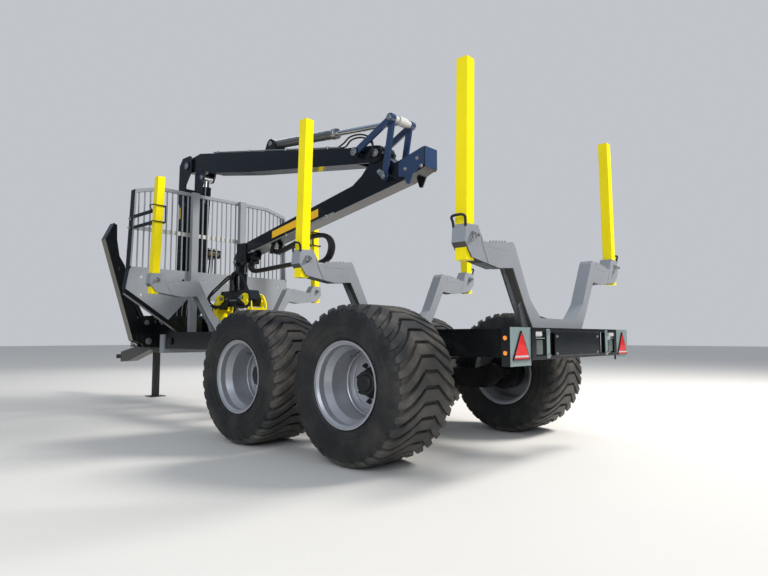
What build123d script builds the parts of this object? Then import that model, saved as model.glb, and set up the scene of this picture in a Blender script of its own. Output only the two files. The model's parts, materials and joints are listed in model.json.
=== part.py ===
from build123d import *
import os
from math import cos, hypot, pi, sin

# A forestry trailer with crane, parked on its jack with the crane folded over the load space.
# X runs forward to the tow eye, Y to the trailer's left and Z up from the ground, in millimetres.
# The origin is on the ground, under the middle of the whole length and width.

# Clearances
SEAT_GAP = 0.3          # between pieces that rest on, turn in or slide in each other
PASS_GAP = 5            # between pieces that move past each other

# Frame: two long beams, cross members and a rear bar
REAR_END_X = -3820
EYE_TIP_X = 3820
FRAME_TOP = 940
BEAM_HEIGHT = 205
BEAM_WIDTH = 100
BEAM_OUTER_Y = 450
BEAM_FRONT_X = 1420
FLANGE_THICKNESS = 12
FLANGE_OVERHANG = 10
REAR_BAR_THICKNESS = 30
CROSS_MEMBER_X = (-3500, -2900, -1300, -600, 100, 800, 1300)
CROSS_MEMBER_LENGTH = 80
CROSS_MEMBER_INSET = 40
BEAM_BOTTOM = FRAME_TOP - BEAM_HEIGHT
BEAM_INNER_Y = BEAM_OUTER_Y - BEAM_WIDTH
BEAM_REAR_X = REAR_END_X + REAR_BAR_THICKNESS

# Rear bar with its lamp plates
REAR_BAR_HALF_WIDTH = 700
REAR_BAR_RAIL = 24
REAR_POST_WIDTH = 50
REAR_POST_Y = 485
REAR_END_POST_Y = 675
LAMP_PLATE_OUTER_Y = 956
LAMP_PLATE_INNER_Y = 702
LAMP_PLATE_BOTTOM = 702
LAMP_PLATE_THICKNESS = 14
LAMP_PLATE_FLANGE = 60
CENTRE_PLATE_HALF_WIDTH = 400
CENTRE_PLATE_THICKNESS = 12
REFLECTOR_HALF_WIDTH = 98
REFLECTOR_HEIGHT = 174
REFLECTOR_BOTTOM = 742
REFLECTOR_THICKNESS = 8

# Wheels on two walking bogies
REAR_AXLE_X = -2727.5
AXLE_SPACING = 1270
FRONT_AXLE_X = REAR_AXLE_X + AXLE_SPACING
TYRE_RADIUS = 556
TYRE_WIDTH = 590
TREAD_WIDTH = 490
LUGS = 34
LUG_HEIGHT = 32
LUG_HALF = 38           # half of a lug's width along the tread, in the middle
LUG_END_HALF = 29
LUG_FLANK = 7           # how much further a lug's foot reaches than its top
LUG_TRAIL = 165         # how far a lug's ends trail its middle
LUG_END_DROP = 4
LUG_END_SLOPE = 20      # how much further out a lug's end is at its foot
WHEEL_Y = 1022.5
RIM_WIDTH = 539
RIM_FLANGE_RADIUS = 300
BEAD_RADIUS = 281
RIM_WELL_RADIUS = 250
RIM_WALL = 10
RIM_SLOPE = 70          # from the rim's edge to where the well's slope begins
RIM_LEDGE = 120         # from the rim's edge to the well's flat bottom
DISC_Y = 1000
DISC_THICKNESS = 18
HUB_RADIUS = 75
HUB_OUTER_Y = 1078
HUB_INNER_Y = 902
STUB_RADIUS = 45
DRUM_RADIUS = 160
DRUM_INNER_Y = 770
DRUM_OUTER_Y = 890
BOGIE_X = REAR_AXLE_X + AXLE_SPACING / 2
BOGIE_PIVOT_Z = 505
BOGIE_INNER_Y = 540
BOGIE_OUTER_Y = 640
BOGIE_HALF_HEIGHT = 85
BOGIE_END = 85
PIVOT_RADIUS = 60
PIVOT_COLLAR_RADIUS = 90
PIVOT_CAP = 20
HANGER_HALF_TOP = 230
HANGER_HALF_BOTTOM = 100

# Bunks and stakes; the bunk's outline is half of its rear view, as (distance from the middle, height)
STAKE_SIZE = 80
STAKE_BOTTOM = 1341
STAKE_TOP = 2618
STAKE_OUTER_Y = 1177
STAKE_LEAN = 0.0289
SOCKET_WALL = 10
REAR_BUNK_INSET = 204.5
BUNK_X = {"front": 381.5, "middle": -2082.5, "rear": REAR_END_X + REAR_BUNK_INSET}
SOCKET_REACH = 400
SOCKET_DROP = 100
BUNK_BOTTOM = FRAME_TOP
BUNK_ARM_TOP = [(275, 1012), (427, 1139), (616, 1484), (641, 1508), (700, 1500), (806, 1482)]
BUNK_SOCKET_TOP = [(994, 1459), (1058, 1563), (1187, 1556), (1200, 1446)]
BUNK_UNDER = [(1128, 1358), (823, 1318), (648, 1334), (511, 1108), (395, BUNK_BOTTOM)]
BUNK_TEETH = 4
BUNK_TOOTH_PITCH = 32
BUNK_TOOTH_HEIGHT = 15
BUNK_TEETH_START = (862, 1459)
BUNK_SIDE_PLATE = 14
BUNK_CHANNEL = [
    (985, 1290), (700, 1290), (560, 1070), (430, BUNK_BOTTOM - 10), (372, BUNK_BOTTOM - 10),
    (468, 1120), (628, 1372), (835, 1352), (985, 1370),
]
BUNK_GUSSET = [(372, BUNK_BOTTOM), (466, 1118), (500, 1088), (452, BUNK_BOTTOM)]
BUNK_GUSSET_THICKNESS = 12

# Headboard: posts, lower plates, black arms under them and a barred grille above
HEADBOARD_X = 1000
POST_Y = 345
POST_WIDTH = 90
POST_DEPTH = 60
HEADBOARD_TOP = 2680
PLATE_THICKNESS = 8
PLATE_TOP = 1650
PLATE_HALF = [(1125, PLATE_TOP), (1160, 1430), (637, 1086), (405, 1336)]
PLATE_HOLES = [(458, 1572), (166, 1584), (983, 1578), (980, 1370)]
PLATE_HOLE_RADIUS = 16
ARM_DEPTH = 70
ARM_HALF = [
    (500, FRAME_TOP), (1165, 1375), (1165, 1434), (1115, 1434), (470, 1012), (360, 1012),
    (360, FRAME_TOP),
]
RAIL = 40
GRILLE_TOP_Y = 780
GRILLE_CORNER = (1090, HEADBOARD_TOP - 80)
GRILLE_FOOT_Y = 1125
ROD_RADIUS = 9
ROD_SPACING = 69
SIDE_PLATE_DEPTH = 110
SIDE_PLATE_LOW = (1159, 1436)
TIE_LEVELS = (2122, 2250)
TIE_Y = 1098
TIE_HEIGHT = 40
TIE_THICKNESS = 10

# Front frame, crane base, oil tank and valve block
CROSSBEAM_LENGTH = 110
CROSSBEAM_HALF_WIDTH = 470
CROSSBEAM_BOTTOM = 680
CROSSBEAM_TOP = 912
BASE_HALF_WIDTH = 330
BASE_BOTTOM = 690
BASE_TOP = 1040
BASE_FRONT_X = 1960
SLEW_X = 1722
HOUSING_RADIUS = 180
HOUSING_TOP = 1240
RACK_RADIUS = 70
RACK_OFFSET = 120
RACK_HALF_LENGTH = 400
TANK = (1120, 1390, -440, -60, FRAME_TOP, 1250)
VALVE = (1170, 1360, 90, 440, FRAME_TOP, 1110)

# Stabiliser legs, raised; YZ points of the left one
LEG_X = 1872
LEG_HINGE = (500, 828)
LEG_CYLINDER_BASE = (531, 1069)
LEG_CYLINDER_EYE = (880, 1745)
LEG_PLATE = 12
LEG_HALF_DEPTH = 62
LEG_WEB = [(690, 834), (1084, 2105), (1066, 2119), (640, 846)]
LEG_SIDE = [
    (440, 800), (530, 768), (688, 832), (1073, 2100), (975, 2310), (945, 2305), (938, 2110),
    (900, 1905), (828, 1790), (800, 1660), (640, 1130), (440, 890),
]
FOOT = [(1084, 2105), (983, 2322), (972, 2317), (1073, 2100)]
FOOT_HALF_DEPTH = 66
BRACKET_THICKNESS = 16
BRACKET_SIDE = [(320, 740), (560, 750), (610, 850), (610, 1100), (560, 1150), (450, 1165), (320, 1030)]
LEG_PIN_RADIUS = 25
LEG_PIN_HEAD_RADIUS = 48

# Steering drawbar with tow eye and jack
STEER_X = 2500
FORK_RADIUS = 80
FORK_TOP = 900
FORK_PLATE = 35
FORK_SETBACK = 20       # from the fork's round ends back to the front beam
STEER_CAP_RADIUS = 50
FRONT_BEAM_HALF_WIDTH = 80
STEER_PIN_RADIUS = 30
DRAWBAR_HALF_WIDTH = 75
DRAWBAR_REAR_X = STEER_X + 92
DRAWBAR_NOSE_X = 3560
DRAWBAR_NOSE_TOP = 655
DRAWBAR_NOSE_BOTTOM = 500
DRAWBAR_SIDE = [
    (DRAWBAR_REAR_X, 870), (DRAWBAR_REAR_X + 68, 870), (DRAWBAR_REAR_X + 198, 790), (3400, 684),
    (DRAWBAR_NOSE_X, DRAWBAR_NOSE_TOP), (DRAWBAR_NOSE_X, DRAWBAR_NOSE_BOTTOM), (3316, 516),
    (DRAWBAR_REAR_X + 68, 690), (DRAWBAR_REAR_X, 700),
]
EYE_PLATE = 20
EYE_SHANK_RADIUS = 28
EYE_Z = 578
EYE_RADIUS = 65
EYE_BORE = 25
EYE_HEIGHT = 60
STEER_BASE = (2010, 290)
STEER_EYE = (STEER_X + 260, 260)
STEER_EAR_ROUND = 35    # how far a steering cylinder's ears reach past its pins
STEER_LUG_BACK = 60
STEER_LUG_FRONT = 90
DRAWBAR_NECK_HALF_WIDTH = 60
STEER_Z = 795
JACK_X = STEER_X + 322
JACK_Y = -131
JACK_LEG = 80
JACK_SLEEVE = 110
JACK_SLEEVE_BOTTOM = 650
JACK_SLEEVE_TOP = 930
JACK_FOOT = 220
JACK_FOOT_THICKNESS = 12
JACK_LEG_TOP = 905

# Crane: pins as (x, z) in its plane, which is the trailer's middle plane
LIFT_PIN = (1590, 3200)
LIFT_BASE = (1430, 1480)
LIFT_EYE = (1290, 3000)
JIB_RAM_BASE = (-197, 3119)
LINK_BOOM_PIN = (-1674, 2674)
ELBOW_PIN = (-1908, 2626)
LINK_TOP_PIN = (-2141, 2900)
LINK_JIB_PIN = (-2043, 2373)
TIP_PIN = (472, 1790)
BOOM_HALF_WIDTH = 100
JIB_HALF_WIDTH = 87
CHEEK = 25
ELBOW_CHEEK = 25
CRANE_PIN_RADIUS = 30
LIFT_PIN_HEAD_RADIUS = 55
ELBOW_PIN_HEAD_RADIUS = 48
ELBOW_ROOT_RADIUS = 80
LINK_PIN_RADIUS = 25
LINK_PIN_HEAD_RADIUS = 45
LINK_SPACER_RADIUS = 40
CROSSBAR_CAP_RADIUS = 40
TIP_PIN_RADIUS = 22
HANGER_EYE_RADIUS = 45
HANGER_HALF_LENGTH = 40
PILLAR_HALF_WIDTH = 110
PILLAR_FLANGE_RADIUS = 170
PILLAR_FLANGE_THICKNESS = 61
PILLAR_FOOT = HOUSING_TOP + PILLAR_FLANGE_THICKNESS - 1
PILLAR_SIDE = [
    (1600, PILLAR_FOOT), (1845, PILLAR_FOOT), (1820, 2850), (1800, 2900), (1645, 2900),
    (1640, 1750), (1600, 1600),
]
PILLAR_CHEEK = [
    (1642, 2700), (1812, 2700), (1800, 3240), (1720, 3330), (1530, 3330), (1480, 3270),
    (1480, 3140), (1560, 3050), (1642, 2950),
]
LIFT_EAR = [(1650, 1400), (1650, 1640), (1460, 1545), (1385, 1500), (1390, 1440), (1430, 1420)]
BOOM_SIDE = [
    (1590, 3295), (1312, 3320), (-1650, 2735), (-1650, 2573), (162, 2847), (1052, 3010),
    (1200, 3070), (1590, 3105),
]
BOOM_ROOT_RADIUS = 95
BOOM_LIFT_EAR = [(1190, 3080), (1400, 3110), (1345, 2985), (1315, 2945), (1265, 2945), (1235, 2985)]
BOOM_RAM_EAR = [(-320, 2980), (-80, 3030), (-140, 3150), (-175, 3172), (-220, 3172), (-255, 3150)]
BOOM_END_CHEEK = [
    (-1500, 2765), (-1500, 2598), (-1880, 2542), (-1955, 2560), (-1992, 2626), (-1955, 2692), (-1880, 2708),
]
JIB_SIDE = [
    (200, 2005), (-1397, 2333), (-1850, 2425), (-2150, 2490), (-2492, 2570), (-2492, 2385),
    (-2234, 2302), (-1397, 2149), (200, 1857),
]
JIB_EAR = [
    (-1440, 2335), (-1560, 2372), (-1690, 2450), (-1810, 2570), (-1870, 2695), (-1946, 2695),
    (-1980, 2610), (-2120, 2490), (-2150, 2420), (-1850, 2330),
]
TAIL_PLATE = [
    (-2190, 2470), (-2280, 2515), (-2480, 2566), (-2480, 2400), (-2365, 2345), (-2318, 2255),
    (-2285, 2262), (-2262, 2330), (-2190, 2345),
]
TAIL_PLATE_THICKNESS = 12
EXTENSION_HALF_WIDTH = 68
EXTENSION_HALF_HEIGHT = 62
EXTENSION_REAR = -1330
EXTENSION_FRONT = 300
HEAD_SIDE = [(222, 1998), (418, 2008), (400, 1782), (212, 1756)]
HEAD_HALF_WIDTH = 94
TIP_EAR = [(390, 1790), (395, 1950), (470, 1900), (522, 1840), (526, 1780), (505, 1742), (455, 1742)]
TIP_EAR_INNER_Y = 42
TIP_EAR_THICKNESS = 20
LINK_PLATE = 20
LINK_RADIUS = 42
CROSSBAR_RADIUS = 35
CROSSBAR_HALF_LENGTH = 115
PIN_HEAD = 14

# Cylinders: barrel length and radius, rod radius, rod held in the barrel at rest, eye and pin radius
RAM_COLUMNS = ("barrel_length", "barrel_radius", "rod_radius", "held", "eye_radius", "pin_radius")
RAM_SIZES = {
    "lift": (1400, 62, 35, 1200, 50, 25),
    "jib": (1065, 50, 28, 150, 45, 22),
    "stabiliser": (600, 38, 22, 480, 45, 25),
    "steering": (470, 32, 18, 200, 32, 18),
}
RAMS = {name: dict(zip(RAM_COLUMNS, sizes)) for name, sizes in RAM_SIZES.items()}
EAR_PLATE = 20
EYE_PROUD = 2           # how far a cylinder's eye stands out past its barrel's side
EAR_GAP = 0.6           # from a cylinder's eye to the ears beside it

# Rotator and grapple, hanging at the jib's tip
GRAPPLE_X = TIP_PIN[0]
ROTATOR_TOP = 1650
ROTATOR_BOTTOM = 1520
ROTATOR_RADIUS = 85
ROTOR_RADIUS = 76
GRAPPLE_TOP = 1440
GRAPPLE_SIDE = [
    (-320, 1330), (-262, GRAPPLE_TOP), (262, GRAPPLE_TOP), (320, 1330), (298, 1245), (-298, 1245),
]
GRAPPLE_HALF_WIDTH = 90
CLAW_PIN = (220, 1350)
CLAW_PLATE = 15
CLAW_OUTLINE = [
    (190, 1320), (205, 1385), (260, 1400), (340, 1380), (400, 1290), (412, 1220), (385, 1150),
    (330, 1090), (270, 1045), (262, 1075), (300, 1140), (310, 1210), (270, 1275),
]
CLAW_BLADE = [
    (412, 1220), (385, 1150), (330, 1090), (270, 1045), (262, 1075), (300, 1110), (355, 1165),
    (382, 1225),
]
CLAW_HOLES = [(338, 1318, 20), (362, 1235, 24), (330, 1152, 18)]
CLAW_PIN_RADIUS = 22


def block(x0, x1, y0, y1, z0, z1):
    """A box between its lowest and highest places along each axis."""
    return Pos((x0 + x1) / 2, (y0 + y1) / 2, (z0 + z1) / 2) * Box(x1 - x0, y1 - y0, z1 - z0)


def prism(points, direction, length):
    """Push a flat outline of 3D points along a direction."""
    return extrude(make_face(Polyline(*points, close=True)), amount=length, dir=direction)


def plate_xz(outline, y0, y1):
    """A plate across Y from its outline of (x, z) points."""
    return prism([(x, y0, z) for x, z in outline], (0, 1, 0), y1 - y0)


def plate_yz(outline, x0, x1):
    """A plate across X from its outline of (y, z) points."""
    return prism([(x0, y, z) for y, z in outline], (1, 0, 0), x1 - x0)


def plate_xy(outline, z0, z1):
    """A plate across Z from its outline of (x, y) points."""
    return prism([(x, y, z0) for x, y in outline], (0, 0, 1), z1 - z0)


def bar(start, end, radius):
    """A round bar from one point to another."""
    start, end = Vector(*start), Vector(*end)
    middle = (start + end) * 0.5
    return Plane(origin=middle, z_dir=end - start) * Cylinder(radius, (end - start).length)


def ear_place(name):
    """How far from a cylinder's middle plane the ears beside its eyes begin."""
    return RAMS[name]["barrel_radius"] + EYE_PROUD + EAR_GAP


def ears(outline, name, thickness):
    """The two plates beside the eye of a crane cylinder, from their (x, z) outline."""
    inner = ear_place(name)
    return both_sides(plate_xz(outline, inner, inner + thickness))


def bar_y(place, radius, y0, y1):
    """A round bar along Y at an (x, z) place."""
    x, z = place
    return bar((x, y0, z), (x, y1, z), radius)


def both_sides(shape):
    """A shape and its mirror image on the trailer's other side."""
    return shape + mirror(shape, about=Plane.XZ)


def ram(name, base, eye, pin):
    """A hydraulic cylinder between two pins: its barrel, bored for the base pin, and its rod.

    pin is the direction of both pins. The eyes are as wide as the barrel.
    """
    size = RAMS[name]
    barrel_radius, rod_radius, eye_radius = size["barrel_radius"], size["rod_radius"], size["eye_radius"]
    base, eye, pin = Vector(*base), Vector(*eye), Vector(*pin)
    along = (eye - base).normalized()
    half = pin * (barrel_radius + EYE_PROUD)
    gland = base + along * size["barrel_length"]
    bottom = base + along * (eye_radius + barrel_radius / 2)
    barrel = bar(base, gland, barrel_radius) + bar(base - half, base + half, eye_radius)
    barrel -= bar(bottom, gland + along, rod_radius + SEAT_GAP)
    barrel -= bar(base - half * 2, base + half * 2, size["pin_radius"] + SEAT_GAP)
    rod = bar(gland - along * size["held"], eye, rod_radius) + bar(eye - half, eye + half, eye_radius)
    return barrel, rod


def frame_beam():
    """The left long beam: a deep box with a top flange that stands proud of it."""
    web = block(BEAM_REAR_X, BEAM_FRONT_X, BEAM_INNER_Y, BEAM_OUTER_Y, BEAM_BOTTOM, FRAME_TOP)
    flange = block(
        BEAM_REAR_X, BEAM_FRONT_X, BEAM_INNER_Y, BEAM_OUTER_Y + FLANGE_OVERHANG,
        FRAME_TOP - FLANGE_THICKNESS, FRAME_TOP,
    )
    return web + flange


def cross_members():
    """Box members between the two beams, one node of separate solids."""
    members = Part()
    for x in CROSS_MEMBER_X:
        half = CROSS_MEMBER_LENGTH / 2
        members += block(
            x - half, x + half, -BEAM_INNER_Y, BEAM_INNER_Y,
            BEAM_BOTTOM + CROSS_MEMBER_INSET, FRAME_TOP - CROSS_MEMBER_INSET,
        )
    return members


def rear_bar():
    """The bar across the frame's rear end: two rails, four posts and a plate in the middle."""
    x0, x1 = REAR_END_X, BEAM_REAR_X
    bar_shape = Part()
    for z0 in (BEAM_BOTTOM, FRAME_TOP - REAR_BAR_RAIL):
        bar_shape += block(x0, x1, -REAR_BAR_HALF_WIDTH, REAR_BAR_HALF_WIDTH, z0, z0 + REAR_BAR_RAIL)
    for y in (REAR_POST_Y, REAR_END_POST_Y):
        half = REAR_POST_WIDTH / 2
        bar_shape += both_sides(block(x0, x1, y - half, y + half, BEAM_BOTTOM, FRAME_TOP))
    centre = block(
        x1 - CENTRE_PLATE_THICKNESS, x1, -CENTRE_PLATE_HALF_WIDTH, CENTRE_PLATE_HALF_WIDTH,
        BEAM_BOTTOM, FRAME_TOP,
    )
    return bar_shape + centre


def lamp_plates():
    """The two plates that carry the lamps, each with a flange at its outer edge."""
    x0 = REAR_END_X + REFLECTOR_THICKNESS
    plate = block(
        x0, x0 + LAMP_PLATE_THICKNESS, LAMP_PLATE_INNER_Y - 2, LAMP_PLATE_OUTER_Y,
        LAMP_PLATE_BOTTOM, FRAME_TOP,
    )
    flange = block(
        x0, x0 + LAMP_PLATE_FLANGE, LAMP_PLATE_OUTER_Y - LAMP_PLATE_THICKNESS, LAMP_PLATE_OUTER_Y,
        LAMP_PLATE_BOTTOM, FRAME_TOP,
    )
    return both_sides(plate + flange)


def reflectors():
    """A triangular reflector on each lamp plate."""
    middle = (LAMP_PLATE_INNER_Y + LAMP_PLATE_OUTER_Y) / 2
    outline = [
        (middle - REFLECTOR_HALF_WIDTH, REFLECTOR_BOTTOM),
        (middle + REFLECTOR_HALF_WIDTH, REFLECTOR_BOTTOM),
        (middle, REFLECTOR_BOTTOM + REFLECTOR_HEIGHT),
    ]
    return both_sides(plate_yz(outline, REAR_END_X, REAR_END_X + REFLECTOR_THICKNESS))


def bogie_beam():
    """The left walking beam with its two stub axles and brake drums."""
    top, low = BOGIE_PIVOT_Z + BOGIE_HALF_HEIGHT, BOGIE_PIVOT_Z - BOGIE_HALF_HEIGHT
    rear, front = REAR_AXLE_X, FRONT_AXLE_X
    end = BOGIE_END
    outline = [
        (rear - end, TYRE_RADIUS - end / 2), (rear + end / 2, low), (front - end / 2, low),
        (front + end, TYRE_RADIUS - end / 2), (front + end, TYRE_RADIUS + end / 2),
        (front, TYRE_RADIUS + end), (front - 2 * end, top), (rear + 2 * end, top),
        (rear, TYRE_RADIUS + end), (rear - end, TYRE_RADIUS + end / 2),
    ]
    beam = plate_xz(outline, BOGIE_INNER_Y, BOGIE_OUTER_Y)
    beam -= bar_y((BOGIE_X, BOGIE_PIVOT_Z), PIVOT_RADIUS + SEAT_GAP, BOGIE_INNER_Y - 1, BOGIE_OUTER_Y + 1)
    for x in (rear, front):
        beam += bar_y((x, TYRE_RADIUS), STUB_RADIUS, BOGIE_OUTER_Y - 1, HUB_INNER_Y - SEAT_GAP)
        beam += bar_y((x, TYRE_RADIUS), DRUM_RADIUS, DRUM_INNER_Y, DRUM_OUTER_Y)
    return beam


def bogie_hanger():
    """The bracket under the left beam that carries the bogie's cross shaft."""
    outline = [
        (BOGIE_X - HANGER_HALF_TOP, BEAM_BOTTOM), (BOGIE_X + HANGER_HALF_TOP, BEAM_BOTTOM),
        (BOGIE_X + HANGER_HALF_BOTTOM, BOGIE_PIVOT_Z - HANGER_HALF_BOTTOM),
        (BOGIE_X - HANGER_HALF_BOTTOM, BOGIE_PIVOT_Z - HANGER_HALF_BOTTOM),
    ]
    bracket = plate_xz(outline, BEAM_INNER_Y, BEAM_OUTER_Y)
    hole = bar_y((BOGIE_X, BOGIE_PIVOT_Z), PIVOT_RADIUS + SEAT_GAP, BEAM_INNER_Y - 1, BEAM_OUTER_Y + 1)
    return bracket - hole


def bogie_shaft():
    """The cross shaft, with a collar each side between bracket and walking beam, and end caps."""
    place = (BOGIE_X, BOGIE_PIVOT_Z)
    shaft = bar_y(place, PIVOT_RADIUS, -BOGIE_OUTER_Y - PIVOT_CAP, BOGIE_OUTER_Y + PIVOT_CAP)
    collar = bar_y(place, PIVOT_COLLAR_RADIUS, BEAM_OUTER_Y + SEAT_GAP, BOGIE_INNER_Y - SEAT_GAP)
    cap = bar_y(place, PIVOT_COLLAR_RADIUS, BOGIE_OUTER_Y + SEAT_GAP, BOGIE_OUTER_Y + PIVOT_CAP)
    return shaft + both_sides(collar) + both_sides(cap)


def turned(outline, x, side):
    """Turn an outline of (radius, distance from the wheel's middle plane) about a wheel's axis."""
    points = [(x + r, side * (WHEEL_Y + s), TYRE_RADIUS) for r, s in outline]
    face = make_face(Polyline(*points, close=True))
    return revolve(face, axis=Axis((x, 0, TYRE_RADIUS), (0, 1, 0)), revolution_arc=360)


def rim(x, side):
    """A deep-dished steel rim with its disc and hub."""
    half = RIM_WIDTH / 2
    flange, bead = RIM_FLANGE_RADIUS, BEAD_RADIUS
    disc_out = DISC_Y - WHEEL_Y
    disc_in = disc_out - DISC_THICKNESS
    hub_out, hub_in = HUB_OUTER_Y - WHEEL_Y, HUB_INNER_Y - WHEEL_Y
    well, wall = RIM_WELL_RADIUS, RIM_WALL
    slope, ledge = RIM_SLOPE, RIM_LEDGE
    outline = [
        (0, hub_out), (HUB_RADIUS, hub_out), (HUB_RADIUS, disc_out), (well - wall, disc_out),
        (well - wall, half - ledge + 5), (bead - wall, half - slope + 5), (bead - wall, half - 20),
        (flange - wall, half - 6), (flange - wall, half), (flange, half), (flange, half - 8),
        (bead, half - 15), (bead, half - slope), (well, half - ledge), (well, ledge - half),
        (bead, slope - half), (bead, 15 - half), (flange, 8 - half), (flange, -half),
        (flange - wall, -half), (flange - wall, 6 - half), (bead - wall, 20 - half),
        (bead - wall, slope - 5 - half), (well - wall, ledge - 5 - half), (well - wall, disc_in),
        (HUB_RADIUS, disc_in), (HUB_RADIUS, hub_in), (0, hub_in),
    ]
    return turned(outline, x, side)


def wheel_point(radius, y, angle):
    """A point about the Y axis; the angle is in radians and grows as a wheel rolls forward."""
    return Vector(radius * sin(angle), y, radius * cos(angle))


def lug_line(lug, y_share):
    """The foot, top, top and foot of one lug across the tread, in its middle (0) or at an end (-1 or 1)."""
    middle = pi + 2 * pi * lug / LUGS
    end = abs(y_share)
    half = LUG_END_HALF if end else LUG_HALF
    angle = middle - end * LUG_TRAIL / TYRE_RADIUS
    top = (TYRE_RADIUS - end * LUG_END_DROP) / cos(half / TYRE_RADIUS)
    foot = TYRE_RADIUS - LUG_HEIGHT
    top_y = y_share * (TREAD_WIDTH / 2 - LUG_END_SLOPE / 2)
    foot_y = y_share * (TREAD_WIDTH / 2 + LUG_END_SLOPE / 2)
    reach, foot_reach = half / TYRE_RADIUS, (half + LUG_FLANK) / TYRE_RADIUS
    return [
        wheel_point(foot, foot_y, angle - foot_reach), wheel_point(top, top_y, angle - reach),
        wheel_point(top, top_y, angle + reach), wheel_point(foot, foot_y, angle + foot_reach),
    ]


def flat_face(*points):
    """A face with straight edges through points in one plane."""
    return Face(Wire.make_polygon(points, close=True))


def strip(first, second):
    """Two triangles for each step between two rows of points."""
    faces = []
    for n in range(len(first) - 1):
        faces.append(flat_face(first[n], first[n + 1], second[n]))
        faces.append(flat_face(first[n + 1], second[n + 1], second[n]))
    return faces


def sidewall():
    """The tyre's side from its widest ring in to the bead, as (radius, distance from the middle)."""
    wall, bead = TYRE_WIDTH / 2, RIM_WIDTH / 2 - 15.5
    return [
        (TYRE_RADIUS - 76, wall - 3), (TYRE_RADIUS - 136, wall), (RIM_FLANGE_RADIUS + 30, bead + 26),
        (RIM_FLANGE_RADIUS + 1, bead + 7), (BEAD_RADIUS + SEAT_GAP, bead),
    ]


def tyre_shape():
    """A wide flotation tyre about the origin: flat facets, one for each swept lug, and the lugs."""
    faces = []
    pitch = 2 * pi / LUGS
    bulge = 1 / cos(pitch / 2)
    rings = sidewall()
    for lug in range(LUGS):
        crown, following = lug_line(lug, 0), lug_line(lug + 1, 0)
        for side in (-1, 1):
            edge, next_edge = lug_line(lug, side), lug_line(lug + 1, side)
            faces += strip(crown + following[:1], edge + next_edge[:1])
            faces += strip([edge[0], edge[3]], [edge[1], edge[2]])
            angle = pi + lug * pitch - LUG_TRAIL / TYRE_RADIUS
            here = [wheel_point(r * bulge, side * y, angle) for r, y in rings]
            ahead = [wheel_point(r * bulge, side * y, angle + pitch) for r, y in rings]
            faces.append(flat_face(edge[0], edge[3], here[0]))
            faces.append(flat_face(edge[3], next_edge[0], here[0]))
            faces.append(flat_face(next_edge[0], ahead[0], here[0]))
            for n in range(len(rings) - 1):
                faces.append(flat_face(here[n], ahead[n], ahead[n + 1], here[n + 1]))
        inner, inner_y = rings[-1][0] * bulge, rings[-1][1]
        corners = ((-1, angle), (1, angle), (1, angle + pitch), (-1, angle + pitch))
        faces.append(flat_face(*[wheel_point(inner, k * inner_y, a) for k, a in corners]))
    return Solid(Shell(faces))


def tyre(x, side):
    """One tyre on its wheel."""
    return Pos(x, side * WHEEL_Y, TYRE_RADIUS) * TYRE


def stake(x):
    """The left square stake of one bunk, leaning in towards its top."""
    half = STAKE_SIZE / 2
    drop = STAKE_LEAN * (STAKE_TOP - STAKE_BOTTOM)
    outline = [
        (STAKE_OUTER_Y - STAKE_SIZE, STAKE_BOTTOM), (STAKE_OUTER_Y, STAKE_BOTTOM),
        (STAKE_OUTER_Y - drop, STAKE_TOP), (STAKE_OUTER_Y - drop - STAKE_SIZE, STAKE_TOP),
    ]
    return plate_yz(outline, x - half, x + half)


def stake_hole(x):
    """The space that a left stake fills in its socket, with its clearance."""
    half = STAKE_SIZE / 2 + SEAT_GAP
    low, high = STAKE_BOTTOM - SOCKET_DROP, STAKE_BOTTOM + SOCKET_REACH
    outer = STAKE_OUTER_Y + SEAT_GAP
    inner = STAKE_OUTER_Y - STAKE_SIZE - SEAT_GAP
    shift_low, shift_high = -STAKE_LEAN * SOCKET_DROP, STAKE_LEAN * SOCKET_REACH
    outline = [
        (inner - shift_low, low), (outer - shift_low, low), (outer - shift_high, high),
        (inner - shift_high, high),
    ]
    return plate_yz(outline, x - half, x + half)


def bunk_top():
    """The bunk's upper outline on the left, with the row of teeth on its level part."""
    y0, z0 = BUNK_TEETH_START
    teeth = []
    for n in range(BUNK_TEETH):
        y = y0 + n * BUNK_TOOTH_PITCH
        teeth += [(y, z0), (y + BUNK_TOOTH_PITCH / 4, z0 + BUNK_TOOTH_HEIGHT)]
    return BUNK_ARM_TOP + teeth + BUNK_SOCKET_TOP


def bunk(x):
    """One cross bunk: its base on the frame, two bent arms hollow underneath and the stakes' sockets."""
    half = STAKE_SIZE / 2 + SOCKET_WALL
    top = bunk_top()
    right = [(-y, z) for y, z in reversed(top)]
    right_under = [(-y, z) for y, z in BUNK_UNDER]
    outline = right + top + BUNK_UNDER + list(reversed(right_under))
    shape = plate_yz(outline, x - half, x + half) - both_sides(stake_hole(x))
    web = half - BUNK_SIDE_PLATE
    shape -= both_sides(plate_yz(BUNK_CHANNEL, x - web, x + web))
    gusset = BUNK_GUSSET_THICKNESS / 2
    return shape + both_sides(plate_yz(BUNK_GUSSET, x - gusset, x + gusset))


def mirrored_outline(half):
    """A closed outline from its left half, listed from the top middle round to the low middle."""
    return half + [(-y, z) for y, z in reversed(half)]


def headboard_plates():
    """The posts and, on their front side, the shaped lower plate."""
    x0 = HEADBOARD_X
    half = POST_WIDTH / 2
    post = block(x0 - POST_DEPTH, x0, POST_Y - half, POST_Y + half, FRAME_TOP, HEADBOARD_TOP)
    plate = plate_yz(mirrored_outline(PLATE_HALF), x0, x0 + PLATE_THICKNESS)
    for y, z in PLATE_HOLES:
        plate -= both_sides(bar((x0 - 1, y, z), (x0 + PLATE_THICKNESS + 1, y, z), PLATE_HOLE_RADIUS))
    return both_sides(post) + plate


def headboard_arms():
    """The black arms that carry the lower plates from the frame."""
    x0 = HEADBOARD_X + PLATE_THICKNESS
    return both_sides(plate_yz(ARM_HALF, x0, x0 + ARM_DEPTH))


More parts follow.
